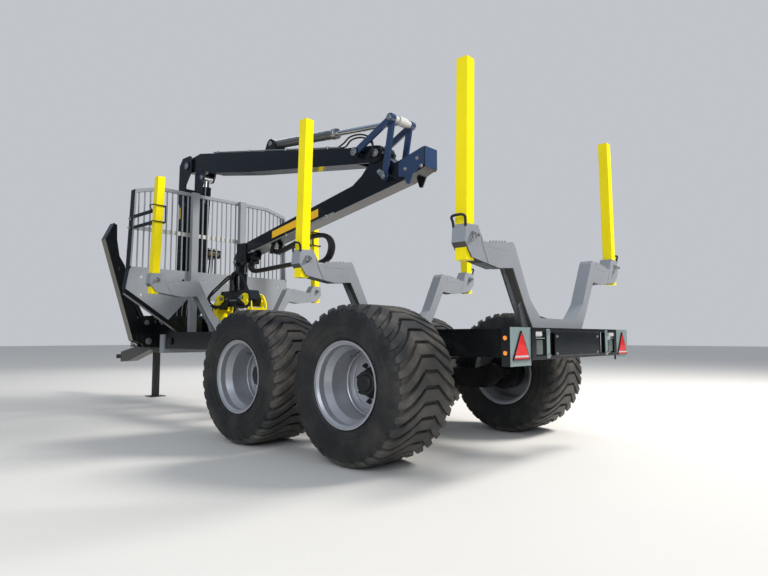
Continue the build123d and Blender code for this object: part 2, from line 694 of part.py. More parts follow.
def headboard_grille():
    """The frame of rails above the plates, with upright rods between them."""
    x0, x1 = HEADBOARD_X, HEADBOARD_X + RAIL
    corner_y, corner_z = GRILLE_CORNER
    top = [
        (GRILLE_TOP_Y, HEADBOARD_TOP), (corner_y, corner_z), (corner_y - 10, corner_z - RAIL),
        (GRILLE_TOP_Y - 8, HEADBOARD_TOP - RAIL),
    ]
    grille = block(x0, x1, -GRILLE_TOP_Y, GRILLE_TOP_Y, HEADBOARD_TOP - RAIL, HEADBOARD_TOP)
    grille += both_sides(plate_yz(top, x0, x1))
    grille += block(x0, x1, -GRILLE_FOOT_Y, GRILLE_FOOT_Y, PLATE_TOP, PLATE_TOP + RAIL)
    side = [
        (corner_y, corner_z), (GRILLE_FOOT_Y, PLATE_TOP), (GRILLE_FOOT_Y - RAIL / 2, PLATE_TOP),
        (corner_y - RAIL / 2, corner_z),
    ]
    grille += both_sides(plate_yz(side, x0, x0 + SIDE_PLATE_DEPTH))
    low_y, low_z = SIDE_PLATE_LOW
    low_side = [
        (GRILLE_FOOT_Y, PLATE_TOP + 1), (low_y, low_z), (low_y - RAIL / 2, low_z),
        (GRILLE_FOOT_Y - RAIL / 2, PLATE_TOP + 1),
    ]
    grille += both_sides(plate_yz(low_side, x0 + PLATE_THICKNESS + SEAT_GAP, x0 + SIDE_PLATE_DEPTH))
    slope = (HEADBOARD_TOP - corner_z) / (corner_y - GRILLE_TOP_Y)
    rods = int((corner_y - RAIL) // ROD_SPACING)
    for n in range(rods + 1):
        y = n * ROD_SPACING
        top_z = HEADBOARD_TOP - RAIL / 2 - max(0, y - GRILLE_TOP_Y) * slope
        rod = bar((x0 + RAIL / 2, y, PLATE_TOP + RAIL / 2), (x0 + RAIL / 2, y, top_z), ROD_RADIUS)
        grille += rod if n == 0 else both_sides(rod)
    return grille


def stake_ties():
    """The flat bars, two a side, that tie the headboard's sides to the front stakes."""
    x0, x1 = BUNK_X["front"] + STAKE_SIZE / 2 + SEAT_GAP, HEADBOARD_X - SEAT_GAP
    ties = Part()
    for z in TIE_LEVELS:
        ties += both_sides(block(x0, x1, TIE_Y - TIE_THICKNESS, TIE_Y, z, z + TIE_HEIGHT))
    return ties


def front_crossbeam():
    """The pale cross beam at the front ends of the two long beams."""
    return block(
        BEAM_FRONT_X, BEAM_FRONT_X + CROSSBEAM_LENGTH, -CROSSBEAM_HALF_WIDTH, CROSSBEAM_HALF_WIDTH,
        CROSSBEAM_BOTTOM, CROSSBEAM_TOP,
    )


def crane_base():
    """The box that carries the crane, its slewing housing and racks, and the stabilisers' brackets."""
    x0 = BEAM_FRONT_X + CROSSBEAM_LENGTH
    base = block(x0, BASE_FRONT_X, -BASE_HALF_WIDTH, BASE_HALF_WIDTH, BASE_BOTTOM, BASE_TOP)
    base += bar((SLEW_X, 0, BASE_TOP - 1), (SLEW_X, 0, HOUSING_TOP), HOUSING_RADIUS)
    for dx in (-RACK_OFFSET, RACK_OFFSET):
        z = BASE_TOP + RACK_RADIUS
        base += bar((SLEW_X + dx, -RACK_HALF_LENGTH, z), (SLEW_X + dx, RACK_HALF_LENGTH, z), RACK_RADIUS)
    gap = LEG_HALF_DEPTH + PASS_GAP
    for x1 in (LEG_X - gap - BRACKET_THICKNESS, LEG_X + gap):
        base += both_sides(plate_yz(BRACKET_SIDE, x1, x1 + BRACKET_THICKNESS))
    reach = gap + BRACKET_THICKNESS
    for y, z in (LEG_HINGE, LEG_CYLINDER_BASE):
        pin = bar((LEG_X - reach, y, z), (LEG_X + reach, y, z), LEG_PIN_RADIUS)
        head = bar((LEG_X - reach - PIN_HEAD, y, z), (LEG_X - reach, y, z), LEG_PIN_HEAD_RADIUS)
        base += both_sides(pin + head)
    return base


def steering_ear_levels():
    """The undersides of the lower and upper ears beside a steering cylinder's eyes."""
    half = ear_place("steering")
    return STEER_Z - half - EAR_PLATE, STEER_Z + half


def front_beam():
    """The short beam from the crane base to the steering fork, with the vertical steering pin."""
    half = FRONT_BEAM_HALF_WIDTH
    fork_x = STEER_X - FORK_RADIUS - FORK_SETBACK
    beam = block(BASE_FRONT_X, fork_x, -half, half, BASE_BOTTOM, FORK_TOP)
    for z in (BASE_BOTTOM, FORK_TOP - FORK_PLATE):
        beam += block(fork_x - 1, STEER_X, -half, half, z, z + FORK_PLATE)
        beam += bar((STEER_X, 0, z), (STEER_X, 0, z + FORK_PLATE), FORK_RADIUS)
    beam += bar((STEER_X, 0, BASE_BOTTOM), (STEER_X, 0, FORK_TOP + PIN_HEAD), STEER_PIN_RADIUS)
    beam += bar((STEER_X, 0, FORK_TOP), (STEER_X, 0, FORK_TOP + PIN_HEAD), STEER_CAP_RADIUS)
    x, y = STEER_BASE
    ear = STEER_EAR_ROUND
    outline = [
        (BASE_FRONT_X, y - 2 * ear), (x, y - ear), (x + ear, y), (x, y + ear), (BASE_FRONT_X, y + ear),
    ]
    for z in steering_ear_levels():
        plate = plate_xy(outline, z, z + EAR_PLATE)
        beam += both_sides(plate + block(BASE_FRONT_X, BASE_FRONT_X + EAR_PLATE, 0, y, z, z + EAR_PLATE))
    low, high = steering_ear_levels()
    pin = bar((x, y, low - PIN_HEAD), (x, y, high + EAR_PLATE + PIN_HEAD), RAMS["steering"]["pin_radius"])
    beam += both_sides(pin)
    return beam


def drawbar():
    """The drawbar, with its rear eye in the fork, the steering lugs and the jack's sleeve."""
    low, high = BASE_BOTTOM + FORK_PLATE + PASS_GAP, FORK_TOP - FORK_PLATE - PASS_GAP
    shape = plate_xz(DRAWBAR_SIDE, -DRAWBAR_HALF_WIDTH, DRAWBAR_HALF_WIDTH)
    neck = DRAWBAR_NECK_HALF_WIDTH
    shape += block(STEER_X, DRAWBAR_REAR_X + 1, -neck, neck, low, high)
    shape += bar((STEER_X, 0, low), (STEER_X, 0, high), FORK_RADIUS - PASS_GAP)
    shape -= bar((STEER_X, 0, low - 1), (STEER_X, 0, high + 1), STEER_PIN_RADIUS + SEAT_GAP)
    x, y = STEER_EYE
    root = DRAWBAR_HALF_WIDTH - 1
    ear = STEER_EAR_ROUND
    outline = [
        (x - STEER_LUG_BACK, root), (x - ear, y), (x, y + ear), (x + ear, y), (x + STEER_LUG_FRONT, root),
    ]
    for z in steering_ear_levels():
        shape += both_sides(plate_xy(outline, z, z + EAR_PLATE))
    shape += square_post(JACK_SLEEVE / 2 + 2, JACK_SLEEVE_BOTTOM, JACK_SLEEVE_TOP)
    return shape - square_post(JACK_LEG / 2 + SEAT_GAP, JACK_SLEEVE_BOTTOM - 100, JACK_SLEEVE_TOP + 100)


def tow_eye():
    """The ring eye bolted to the drawbar's front flange."""
    ring_x = EYE_TIP_X - EYE_RADIUS
    half = EYE_HEIGHT / 2
    x0, side = DRAWBAR_NOSE_X, DRAWBAR_HALF_WIDTH
    eye = block(x0, x0 + EYE_PLATE, -side, side, DRAWBAR_NOSE_BOTTOM, DRAWBAR_NOSE_TOP)
    eye += bar((x0 + EYE_PLATE - 1, 0, EYE_Z), (ring_x, 0, EYE_Z), EYE_SHANK_RADIUS)
    eye += bar((ring_x, 0, EYE_Z - half), (ring_x, 0, EYE_Z + half), EYE_RADIUS)
    return eye - bar((ring_x, 0, EYE_Z - half - 9), (ring_x, 0, EYE_Z + half + 9), EYE_BORE)


def square_post(half, z0, z1):
    """An upright square block on the jack's axis."""
    return block(JACK_X - half, JACK_X + half, JACK_Y - half, JACK_Y + half, z0, z1)


def jack_leg():
    """The square leg that slides in the sleeve, with its foot on the ground."""
    leg = square_post(JACK_LEG / 2, JACK_FOOT_THICKNESS - 1, JACK_LEG_TOP)
    return leg + square_post(JACK_FOOT / 2, 0, JACK_FOOT_THICKNESS)


def stabiliser_leg():
    """The raised left stabiliser: two side plates, the web on their outer edge and the foot."""
    x0, x1 = LEG_X - LEG_HALF_DEPTH, LEG_X + LEG_HALF_DEPTH
    leg = plate_yz(LEG_SIDE, x0, x0 + LEG_PLATE) + plate_yz(LEG_SIDE, x1 - LEG_PLATE, x1)
    leg += plate_yz(LEG_WEB, x0, x1)
    leg += plate_yz(FOOT, LEG_X - FOOT_HALF_DEPTH, LEG_X + FOOT_HALF_DEPTH)
    y, z = LEG_CYLINDER_EYE
    for side in (-1, 1):
        inner = LEG_X + side * ear_place("stabiliser")
        leg += bar((inner, y, z), (LEG_X + side * (LEG_HALF_DEPTH + PIN_HEAD), y, z), LEG_PIN_RADIUS + 5)
    y, z = LEG_HINGE
    leg -= bar((x0 - 1, y, z), (x1 + 1, y, z), LEG_PIN_RADIUS + SEAT_GAP)
    return leg


def stabiliser_ram():
    """Barrel and rod of the left stabiliser's cylinder."""
    base, eye = (LEG_X, *LEG_CYLINDER_BASE), (LEG_X, *LEG_CYLINDER_EYE)
    return ram("stabiliser", base, eye, (1, 0, 0))


def steering_ram():
    """Barrel and rod of the left steering cylinder."""
    base, eye = (*STEER_BASE, STEER_Z), (*STEER_EYE, STEER_Z)
    return ram("steering", base, eye, (0, 0, 1))


def in_plane(place, y=0):
    """A 3D point from a crane pin's (x, z)."""
    return (place[0], y, place[1])


def pillar():
    """The slewing pillar: flange, column, cheeks for the boom's root and ears for the lift cylinder."""
    flange_top = HOUSING_TOP + PILLAR_FLANGE_THICKNESS
    shape = bar((SLEW_X, 0, HOUSING_TOP + SEAT_GAP), (SLEW_X, 0, flange_top), PILLAR_FLANGE_RADIUS)
    shape += plate_xz(PILLAR_SIDE, -PILLAR_HALF_WIDTH, PILLAR_HALF_WIDTH)
    inner = BOOM_HALF_WIDTH + PASS_GAP
    shape += both_sides(plate_xz(PILLAR_CHEEK, inner, inner + CHEEK))
    shape += bar_y(LIFT_PIN, CRANE_PIN_RADIUS, -inner - CHEEK - PIN_HEAD, inner + CHEEK + PIN_HEAD)
    shape += both_sides(bar_y(LIFT_PIN, LIFT_PIN_HEAD_RADIUS, inner + CHEEK - 1, inner + CHEEK + PIN_HEAD))
    shape += ears(LIFT_EAR, "lift", EAR_PLATE)
    reach = ear_place("lift") + EAR_PLATE + PIN_HEAD / 2
    shape += bar_y(LIFT_BASE, RAMS["lift"]["pin_radius"], -reach, reach)
    return shape


def lift_ram():
    """Barrel and rod of the lift cylinder, which stands behind the pillar."""
    return ram("lift", in_plane(LIFT_BASE), in_plane(LIFT_EYE), (0, 1, 0))


def main_boom():
    """The main boom with its root, cylinder ears and the forked outer end."""
    boom = plate_xz(BOOM_SIDE, -BOOM_HALF_WIDTH, BOOM_HALF_WIDTH)
    boom += bar_y(LIFT_PIN, BOOM_ROOT_RADIUS, -BOOM_HALF_WIDTH, BOOM_HALF_WIDTH)
    boom -= bar_y(LIFT_PIN, CRANE_PIN_RADIUS + SEAT_GAP, -BOOM_HALF_WIDTH - 1, BOOM_HALF_WIDTH + 1)
    boom += ears(BOOM_LIFT_EAR, "lift", EAR_PLATE) + ears(BOOM_RAM_EAR, "jib", EAR_PLATE)
    reach = ear_place("jib") + EAR_PLATE + PIN_HEAD / 2
    boom += bar_y(JIB_RAM_BASE, RAMS["jib"]["pin_radius"], -reach, reach)
    inner = BOOM_HALF_WIDTH - ELBOW_CHEEK
    boom += both_sides(plate_xz(BOOM_END_CHEEK, inner, BOOM_HALF_WIDTH))
    head_y = BOOM_HALF_WIDTH + PIN_HEAD
    boom += bar_y(ELBOW_PIN, CRANE_PIN_RADIUS, -head_y, head_y)
    boom += both_sides(bar_y(ELBOW_PIN, ELBOW_PIN_HEAD_RADIUS, BOOM_HALF_WIDTH - 1, head_y))
    link_y = CROSSBAR_HALF_LENGTH + 2 * SEAT_GAP + LINK_PLATE
    outer = link_y + LINK_PLATE + SEAT_GAP
    boom += bar_y(LINK_BOOM_PIN, LINK_PIN_RADIUS, -outer - PIN_HEAD / 2, outer + PIN_HEAD / 2)
    boom += both_sides(bar_y(LINK_BOOM_PIN, LINK_SPACER_RADIUS, BOOM_HALF_WIDTH - 1, link_y - SEAT_GAP))
    boom += both_sides(bar_y(LINK_BOOM_PIN, LINK_PIN_HEAD_RADIUS, outer, outer + PIN_HEAD))
    return boom


def jib_ram():
    """Barrel and rod of the jib cylinder; the rod's eye carries the pale crossbar."""
    barrel, rod = ram("jib", in_plane(JIB_RAM_BASE), in_plane(LINK_TOP_PIN), (0, 1, 0))
    rod += bar_y(LINK_TOP_PIN, CROSSBAR_RADIUS, -CROSSBAR_HALF_LENGTH, CROSSBAR_HALF_LENGTH)
    return barrel, rod


def link(first, second, y0, bored):
    """A pair of plates between two pins, at y0 and outwards; bored takes the pin at the first end."""
    x0, z0 = first
    x1, z1 = second
    length = hypot(x1 - x0, z1 - z0)
    nx, nz = -(z1 - z0) / length * LINK_RADIUS * 0.8, (x1 - x0) / length * LINK_RADIUS * 0.8
    outline = [(x0 + nx, z0 + nz), (x1 + nx, z1 + nz), (x1 - nx, z1 - nz), (x0 - nx, z0 - nz)]
    plate = plate_xz(outline, y0, y0 + LINK_PLATE)
    plate += bar_y(first, LINK_RADIUS, y0, y0 + LINK_PLATE) + bar_y(second, LINK_RADIUS, y0, y0 + LINK_PLATE)
    if bored:
        plate -= bar_y(first, bored + SEAT_GAP, y0 - 1, y0 + LINK_PLATE + 1)
    return both_sides(plate)


def link_boom():
    """The outer pair of link plates, from the boom up to the crossbar."""
    y0 = CROSSBAR_HALF_LENGTH + 2 * SEAT_GAP + LINK_PLATE
    outer = y0 + LINK_PLATE
    plates = link(LINK_BOOM_PIN, LINK_TOP_PIN, y0, LINK_PIN_RADIUS)
    return plates + both_sides(bar_y(LINK_TOP_PIN, CROSSBAR_CAP_RADIUS, outer - 1, outer + PIN_HEAD))


def link_jib():
    """The inner pair of link plates, from the jib up to the crossbar."""
    return link(LINK_JIB_PIN, LINK_TOP_PIN, CROSSBAR_HALF_LENGTH + SEAT_GAP, LINK_PIN_RADIUS)


def jib_line():
    """The jib's axis: its middle point at the mouth and the slope of the telescope."""
    (x0, z0), (x1, z1) = JIB_SIDE[0], JIB_SIDE[-1]
    (x2, z2), (x3, z3) = JIB_SIDE[1], JIB_SIDE[-2]
    mouth, inner = Vector((x0 + x1) / 2, 0, (z0 + z1) / 2), Vector((x2 + x3) / 2, 0, (z2 + z3) / 2)
    return mouth, (mouth - inner).normalized()


def along_jib(x0, x1, half_width, half_height, offset=0):
    """A box along the jib's axis between two places in X, with its middle offset below the axis."""
    mouth, direction = jib_line()
    reach0, reach1 = (x0 - mouth.X) / direction.X, (x1 - mouth.X) / direction.X
    down = Vector(direction.Z, 0, -direction.X)
    middle = mouth + direction * ((reach0 + reach1) / 2) + down * offset
    place = Plane(origin=middle, x_dir=direction, z_dir=-down)
    return place * Box(reach1 - reach0, 2 * half_width, 2 * half_height)


def jib():
    """The jib: a box with a deep root under the elbow and a bore for the telescope."""
    shape = plate_xz(JIB_SIDE, -JIB_HALF_WIDTH, JIB_HALF_WIDTH)
    inner = BOOM_HALF_WIDTH - ELBOW_CHEEK - SEAT_GAP
    shape += plate_xz(JIB_EAR, -inner, inner) + bar_y(ELBOW_PIN, ELBOW_ROOT_RADIUS, -inner, inner)
    shape += both_sides(plate_xz(TAIL_PLATE, JIB_HALF_WIDTH - 1, JIB_HALF_WIDTH + TAIL_PLATE_THICKNESS))
    shape -= bar_y(ELBOW_PIN, CRANE_PIN_RADIUS + SEAT_GAP, -inner - 1, inner + 1)
    reach = CROSSBAR_HALF_LENGTH + LINK_PLATE + PIN_HEAD
    shape += bar_y(LINK_JIB_PIN, LINK_PIN_RADIUS, -reach, reach)
    shape += both_sides(bar_y(LINK_JIB_PIN, LINK_SPACER_RADIUS, JIB_HALF_WIDTH - 1, CROSSBAR_HALF_LENGTH))
    bore_half_width, bore_half_height = EXTENSION_HALF_WIDTH + SEAT_GAP, EXTENSION_HALF_HEIGHT + SEAT_GAP
    shape -= along_jib(EXTENSION_REAR - 20, JIB_SIDE[0][0] + 30, bore_half_width, bore_half_height)
    return shape


def jib_extension():
    """The telescope with the head at its end and the two ears at its tip."""
    shape = along_jib(EXTENSION_REAR, EXTENSION_FRONT, EXTENSION_HALF_WIDTH, EXTENSION_HALF_HEIGHT)
    shape += plate_xz(HEAD_SIDE, -HEAD_HALF_WIDTH, HEAD_HALF_WIDTH)
    y1 = TIP_EAR_INNER_Y + TIP_EAR_THICKNESS
    shape += both_sides(plate_xz(TIP_EAR, TIP_EAR_INNER_Y, y1))
    return shape + bar_y(TIP_PIN, TIP_PIN_RADIUS, -y1 - PIN_HEAD, y1 + PIN_HEAD)


def rotator():
    """The hanger link on the tip's pin and the rotator's housing."""
    half = TIP_EAR_INNER_Y - SEAT_GAP
    x = GRAPPLE_X
    side = HANGER_HALF_LENGTH
    shape = bar_y(TIP_PIN, HANGER_EYE_RADIUS, -half, half)
    shape += block(x - side, x + side, -half, half, ROTATOR_TOP - 1, TIP_PIN[1])
    shape += bar((x, 0, ROTATOR_BOTTOM), (x, 0, ROTATOR_TOP), ROTATOR_RADIUS)
    return shape - bar_y(TIP_PIN, TIP_PIN_RADIUS + SEAT_GAP, -half - 1, half + 1)


def grapple_frame():
    """The rotor flange and the body between the claws, with both claw pins."""
    x = GRAPPLE_X
    shape = bar((x, 0, GRAPPLE_TOP - 1), (x, 0, ROTATOR_BOTTOM - SEAT_GAP), ROTOR_RADIUS)
    outline = [(x + dx, z) for dx, z in GRAPPLE_SIDE]
    shape += plate_xz(outline, -GRAPPLE_HALF_WIDTH, GRAPPLE_HALF_WIDTH)
    reach = GRAPPLE_HALF_WIDTH + PASS_GAP + CLAW_PLATE + PIN_HEAD
    dx, z = CLAW_PIN
    for side in (-1, 1):
        shape += bar_y((x + side * dx, z), CLAW_PIN_RADIUS, -reach, reach)
    return shape


def claw(side):
    """One claw of the grapple: side plates and the curved blade between them."""
    inner = GRAPPLE_HALF_WIDTH + PASS_GAP
    outline = [(GRAPPLE_X + side * x, z) for x, z in CLAW_OUTLINE]
    blade = [(GRAPPLE_X + side * x, z) for x, z in CLAW_BLADE]
    plate = plate_xz(outline, inner, inner + CLAW_PLATE)
    for x, z, radius in CLAW_HOLES:
        plate -= bar_y((GRAPPLE_X + side * x, z), radius, inner - 1, inner + CLAW_PLATE + 1)
    shape = both_sides(plate) + plate_xz(blade, -inner, inner)
    place = (GRAPPLE_X + side * CLAW_PIN[0], CLAW_PIN[1])
    return shape - bar_y(place, CLAW_PIN_RADIUS + SEAT_GAP, -inner - CLAW_PLATE - 1, inner + CLAW_PLATE + 1)


def other_side(shape):
    """The mirror image of a left piece, for the right side."""
    return mirror(shape, about=Plane.XZ)


TYRE = tyre_shape()


def all_nodes():
    """Every node's shape by name."""
    nodes = {
        "frame_beam_left": frame_beam(),
        "frame_beam_right": other_side(frame_beam()),
        "frame_cross_members": cross_members(),
        "rear_bar": rear_bar(),
        "lamp_plates": lamp_plates(),
        "rear_reflectors": reflectors(),
        "bogie_beam_left": bogie_beam(),
        "bogie_beam_right": other_side(bogie_beam()),
        "bogie_hangers": both_sides(bogie_hanger()),
        "bogie_shaft": bogie_shaft(),
        "headboard_plates": headboard_plates(),
        "headboard_arms": headboard_arms(),
        "headboard_grille": headboard_grille(),
        "stake_ties": stake_ties(),
        "front_crossbeam": front_crossbeam(),
        "crane_base": crane_base(),
        "front_beam": front_beam(),
        "oil_tank": block(*TANK),
        "valve_block": block(*VALVE),
        "drawbar": drawbar(),
        "tow_eye": tow_eye(),
        "jack_leg": jack_leg(),
        "pillar": pillar(),
        "main_boom": main_boom(),
        "link_boom": link_boom(),
        "link_jib": link_jib(),
        "jib": jib(),
        "jib_extension": jib_extension(),
        "rotator": rotator(),
        "grapple_frame": grapple_frame(),
        "claw_front": claw(1),
        "claw_rear": claw(-1),
    }
    stakes = Part()
    for name, x in BUNK_X.items():
        nodes["bunk_" + name] = bunk(x)
        stakes += both_sides(stake(x))
    nodes["stakes"] = stakes
    for end, x in (("rear", REAR_AXLE_X), ("front", FRONT_AXLE_X)):
        for name, side in (("left", 1), ("right", -1)):
            nodes[f"tyre_{end}_{name}"] = tyre(x, side)
            nodes[f"rim_{end}_{name}"] = rim(x, side)
    nodes["stabiliser_leg_left"] = stabiliser_leg()
    nodes["stabiliser_leg_right"] = other_side(stabiliser_leg())
    for name, pair in (("stabiliser", stabiliser_ram()), ("steering", steering_ram())):
        for piece, shape in zip(("barrel", "rod"), pair):
            nodes[f"{name}_{piece}_left"] = shape
            nodes[f"{name}_{piece}_right"] = other_side(shape)
    for name, pair in (("lift", lift_ram()), ("jib", jib_ram())):
        nodes[f"{name}_barrel"], nodes[f"{name}_rod"] = pair
    return nodes


os.makedirs("parts", exist_ok=True)
for node_name, node_shape in all_nodes().items():
    export_step(node_shape, f"parts/{node_name}.step")
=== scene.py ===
import json
import math
import bpy
import bmesh
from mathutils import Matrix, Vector


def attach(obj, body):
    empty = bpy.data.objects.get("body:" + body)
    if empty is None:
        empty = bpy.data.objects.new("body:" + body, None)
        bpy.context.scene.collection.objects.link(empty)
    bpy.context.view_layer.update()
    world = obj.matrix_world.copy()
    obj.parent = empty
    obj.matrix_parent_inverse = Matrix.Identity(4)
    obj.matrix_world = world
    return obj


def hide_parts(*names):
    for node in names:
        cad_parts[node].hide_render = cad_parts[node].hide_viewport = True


# A forestry trailer with crane. Everything is in metres, X forward, Y to the trailer's left, Z up.

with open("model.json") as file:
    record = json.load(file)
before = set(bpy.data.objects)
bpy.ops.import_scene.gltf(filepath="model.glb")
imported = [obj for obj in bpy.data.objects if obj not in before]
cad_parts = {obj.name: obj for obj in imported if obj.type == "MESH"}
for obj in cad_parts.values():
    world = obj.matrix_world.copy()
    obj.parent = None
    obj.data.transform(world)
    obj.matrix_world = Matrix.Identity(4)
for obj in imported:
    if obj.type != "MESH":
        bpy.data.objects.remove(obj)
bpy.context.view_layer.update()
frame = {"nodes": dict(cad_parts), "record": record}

# The photograph's viewpoint
CAMERA_PLACE = (-5.599, 4.031, 0.879)
CAMERA_YAW = -47.611       # degrees from +X, positive to the left
CAMERA_PITCH = 4.847       # degrees upwards
CAMERA_LENS = 27.16        # millimetres, as is the sensor's width
CAMERA_SENSOR = 36.0
CAMERA_REACH = 200

# Floor, world and lights
FLOOR_HALF = 60
BACKDROP = (0.86, 0.9, 0.96, 1)
MIRRORED_LOW = (0.07, 0.08, 0.09, 1)       # what shiny surfaces show of the world near the horizon
MIRRORED_HIGH = (0.6, 0.74, 0.98, 1)       # and high up
MIRRORED_RISE = 0.75
WORLD_STRENGTH = 0.62
LIGHTS = [
    # name, place, target, size, power in watts, colour, whether shiny surfaces mirror it
    ("key", (-7.5, -6.5, 8.5), (-0.5, 0, 1.2), 3.0, 2000, (1.0, 0.96, 0.9), False),
    ("fill", (-7, 9, 5), (-1, 0, 1.2), 5.0, 400, (0.88, 0.94, 1.0), True),
    ("back", (8, -5, 6.5), (0, 0, 1.6), 5.0, 300, (1.0, 0.98, 0.95), True),
]

# Colours, as linear red, green and blue
FRAME_BLACK = (0.0035, 0.0045, 0.006)
CRANE_BLACK = (0.003, 0.0045, 0.0065)
# Blue on the black links and the jib's tail: a painted reflection of the sky
LINK_SKY_REFLECTION_BLUE = (0.018, 0.04, 0.1)
GREY_PAINT = (0.25, 0.265, 0.29)
# Dark grey: the drawbar's tone, and painted shade on the bunks' undersides
DRAWBAR_GREY_AND_UNDERSIDE_SHADE = (0.055, 0.055, 0.05)
# Brown on the stabiliser legs' outward faces: a painted reflection of the ground on black legs
LEG_GROUND_REFLECTION_BROWN = (0.16, 0.15, 0.12)
# Teal grey: the lamp plates' own paint, and on the polished rear posts a painted reflection of grass
LAMP_PLATE_AND_POST_REFLECTION = (0.2, 0.26, 0.26)
BARREL_GREY = (0.12, 0.125, 0.12)
SILVER_PAINT = (0.5, 0.5, 0.48)
YELLOW_PAINT = (0.88, 0.72, 0.0)
RIM_PAINT = (0.42, 0.43, 0.46)
RUBBER = (0.0075, 0.008, 0.0085)
# Paler tread rubber: a painted sheen of the lit tread
TREAD_RUBBER_AND_PAINTED_SHEEN = (0.024, 0.0235, 0.023)
HOSE_RUBBER = (0.006, 0.006, 0.007)
DUST = (0.2, 0.175, 0.145)
RUBBED_EDGE = (0.16, 0.15, 0.14)
ZINC = (0.5, 0.5, 0.49)
CHROME = (0.62, 0.63, 0.65)
REFLECTOR_RED = (0.75, 0.004, 0.004)
AMBER = (0.95, 0.27, 0.01)
CLEAR = (0.75, 0.75, 0.74)
SMOKED = (0.13, 0.16, 0.15)
WARNING_YELLOW = (0.9, 0.5, 0.01)
FLOOR = (0.62, 0.61, 0.59)

# Sides, wheels and bunks
SIGNS = (1, -1)
SIDES = {"left": 1, "right": -1}
WHEEL_X = {"rear": -2.7275, "front": -1.4575}
WHEEL_Y = 1.0225
TYRE_RADIUS = 0.556
BUNK_X = {"front": 0.3815, "middle": -2.0825, "rear": -3.6155}
BUNK_HALF = 0.05


# Shader building

def tinted(colour, factor):
    """A colour made darker or paler."""
    return tuple(min(1, c * factor) for c in colour)


class Shader:
    """A new material with its tree, and short calls for the nodes that the surfaces share."""

    def __init__(self, name):
        self.material = bpy.data.materials.new(name)
        self.material.use_nodes = True
        self.tree = self.material.node_tree
        self.surface = self.tree.nodes["Principled BSDF"]
        self.own = self.add("ShaderNodeTexCoord").outputs
        self.place = self.own["Object"]

    def add(self, kind, **settings):
        node = self.tree.nodes.new(kind)
        for key, value in settings.items():
            setattr(node, key, value)
        return node

    def join(self, source, target):
        """Feeds an output, or a plain value, into an input."""
        if isinstance(source, bpy.types.NodeSocket):
            self.tree.links.new(source, target)
        elif isinstance(source, tuple) and len(source) == 3 and target.type == "RGBA":
            target.default_value = (*source, 1.0)
        else:
            target.default_value = source

    def noise(self, scale, detail=3.0, stretch=(1, 1, 1)):
        """Cloudy values from 0 to 1, scale per metre."""
        spread = self.add("ShaderNodeMapping")
        spread.inputs["Scale"].default_value = stretch
        self.join(self.place, spread.inputs["Vector"])
        texture = self.add("ShaderNodeTexNoise")
        texture.inputs["Scale"].default_value = scale
        texture.inputs["Detail"].default_value = detail
        self.join(spread.outputs["Vector"], texture.inputs["Vector"])
        return texture.outputs["Fac"]

    def band(self, value, none, full):
        """0 at one value, 1 at another and a smooth ramp between; either may be the larger."""
        ramp = self.add("ShaderNodeMapRange", interpolation_type="SMOOTHSTEP")
        self.join(value, ramp.inputs["Value"])
        ramp.inputs["From Min"].default_value = none
        ramp.inputs["From Max"].default_value = full
        return ramp.outputs["Result"]

    def math(self, operation, first, second):
        node = self.add("ShaderNodeMath", operation=operation)
        self.join(first, node.inputs[0])
        self.join(second, node.inputs[1])
        return node.outputs["Value"]

    def times(self, first, second):
        return self.math("MULTIPLY", first, second)

    def plus(self, first, second):
        return self.math("ADD", first, second)

    def mix(self, factor, first, second):
        """A colour between two others."""
        node = self.add("ShaderNodeMix", data_type="RGBA")
        self.join(factor, node.inputs["Factor"])
        self.join(first, node.inputs["A"])
        self.join(second, node.inputs["B"])
        return node.outputs["Result"]

    def up(self):
        """How far the surface faces upwards, from 0 to 1."""
        split = self.add("ShaderNodeSeparateXYZ")
        self.join(self.own["Normal"], split.inputs["Vector"])
        return self.band(split.outputs["Z"], none=0.2, full=1.0)

    def height(self):
        """The surface's level in the piece's own space."""
        split = self.add("ShaderNodeSeparateXYZ")
        self.join(self.place, split.inputs["Vector"])
        return split.outputs["Z"]

    def rounded(self, radius):
        """The surface's normal with its edges rounded to a radius."""
        bevel = self.add("ShaderNodeBevel", samples=4)
        bevel.inputs["Radius"].default_value = radius
        return bevel.outputs["Normal"]

    def edges(self, radius):
        """Near 1 on an edge of about this radius and 0 on the flats."""
        flat = self.add("ShaderNodeNewGeometry").outputs["Normal"]
        dot = self.add("ShaderNodeVectorMath", operation="DOT_PRODUCT")
        self.join(self.rounded(radius), dot.inputs[0])
        self.join(flat, dot.inputs[1])
        return self.band(dot.outputs["Value"], none=0.98, full=0.86)

    def bump(self, height, strength, distance=0.001, normal=None):
        """A normal roughened by a height."""
        node = self.add("ShaderNodeBump")
        node.inputs["Strength"].default_value = strength
        node.inputs["Distance"].default_value = distance
        self.join(height, node.inputs["Height"])
        if normal is not None:
            self.join(normal, node.inputs["Normal"])
        return node.outputs["Normal"]

    def set(self, **inputs):
        """Sets inputs of the surface; an underscore stands for a space."""
        for key, value in inputs.items():
            self.join(value, self.surface.inputs[key.replace("_", " ")])


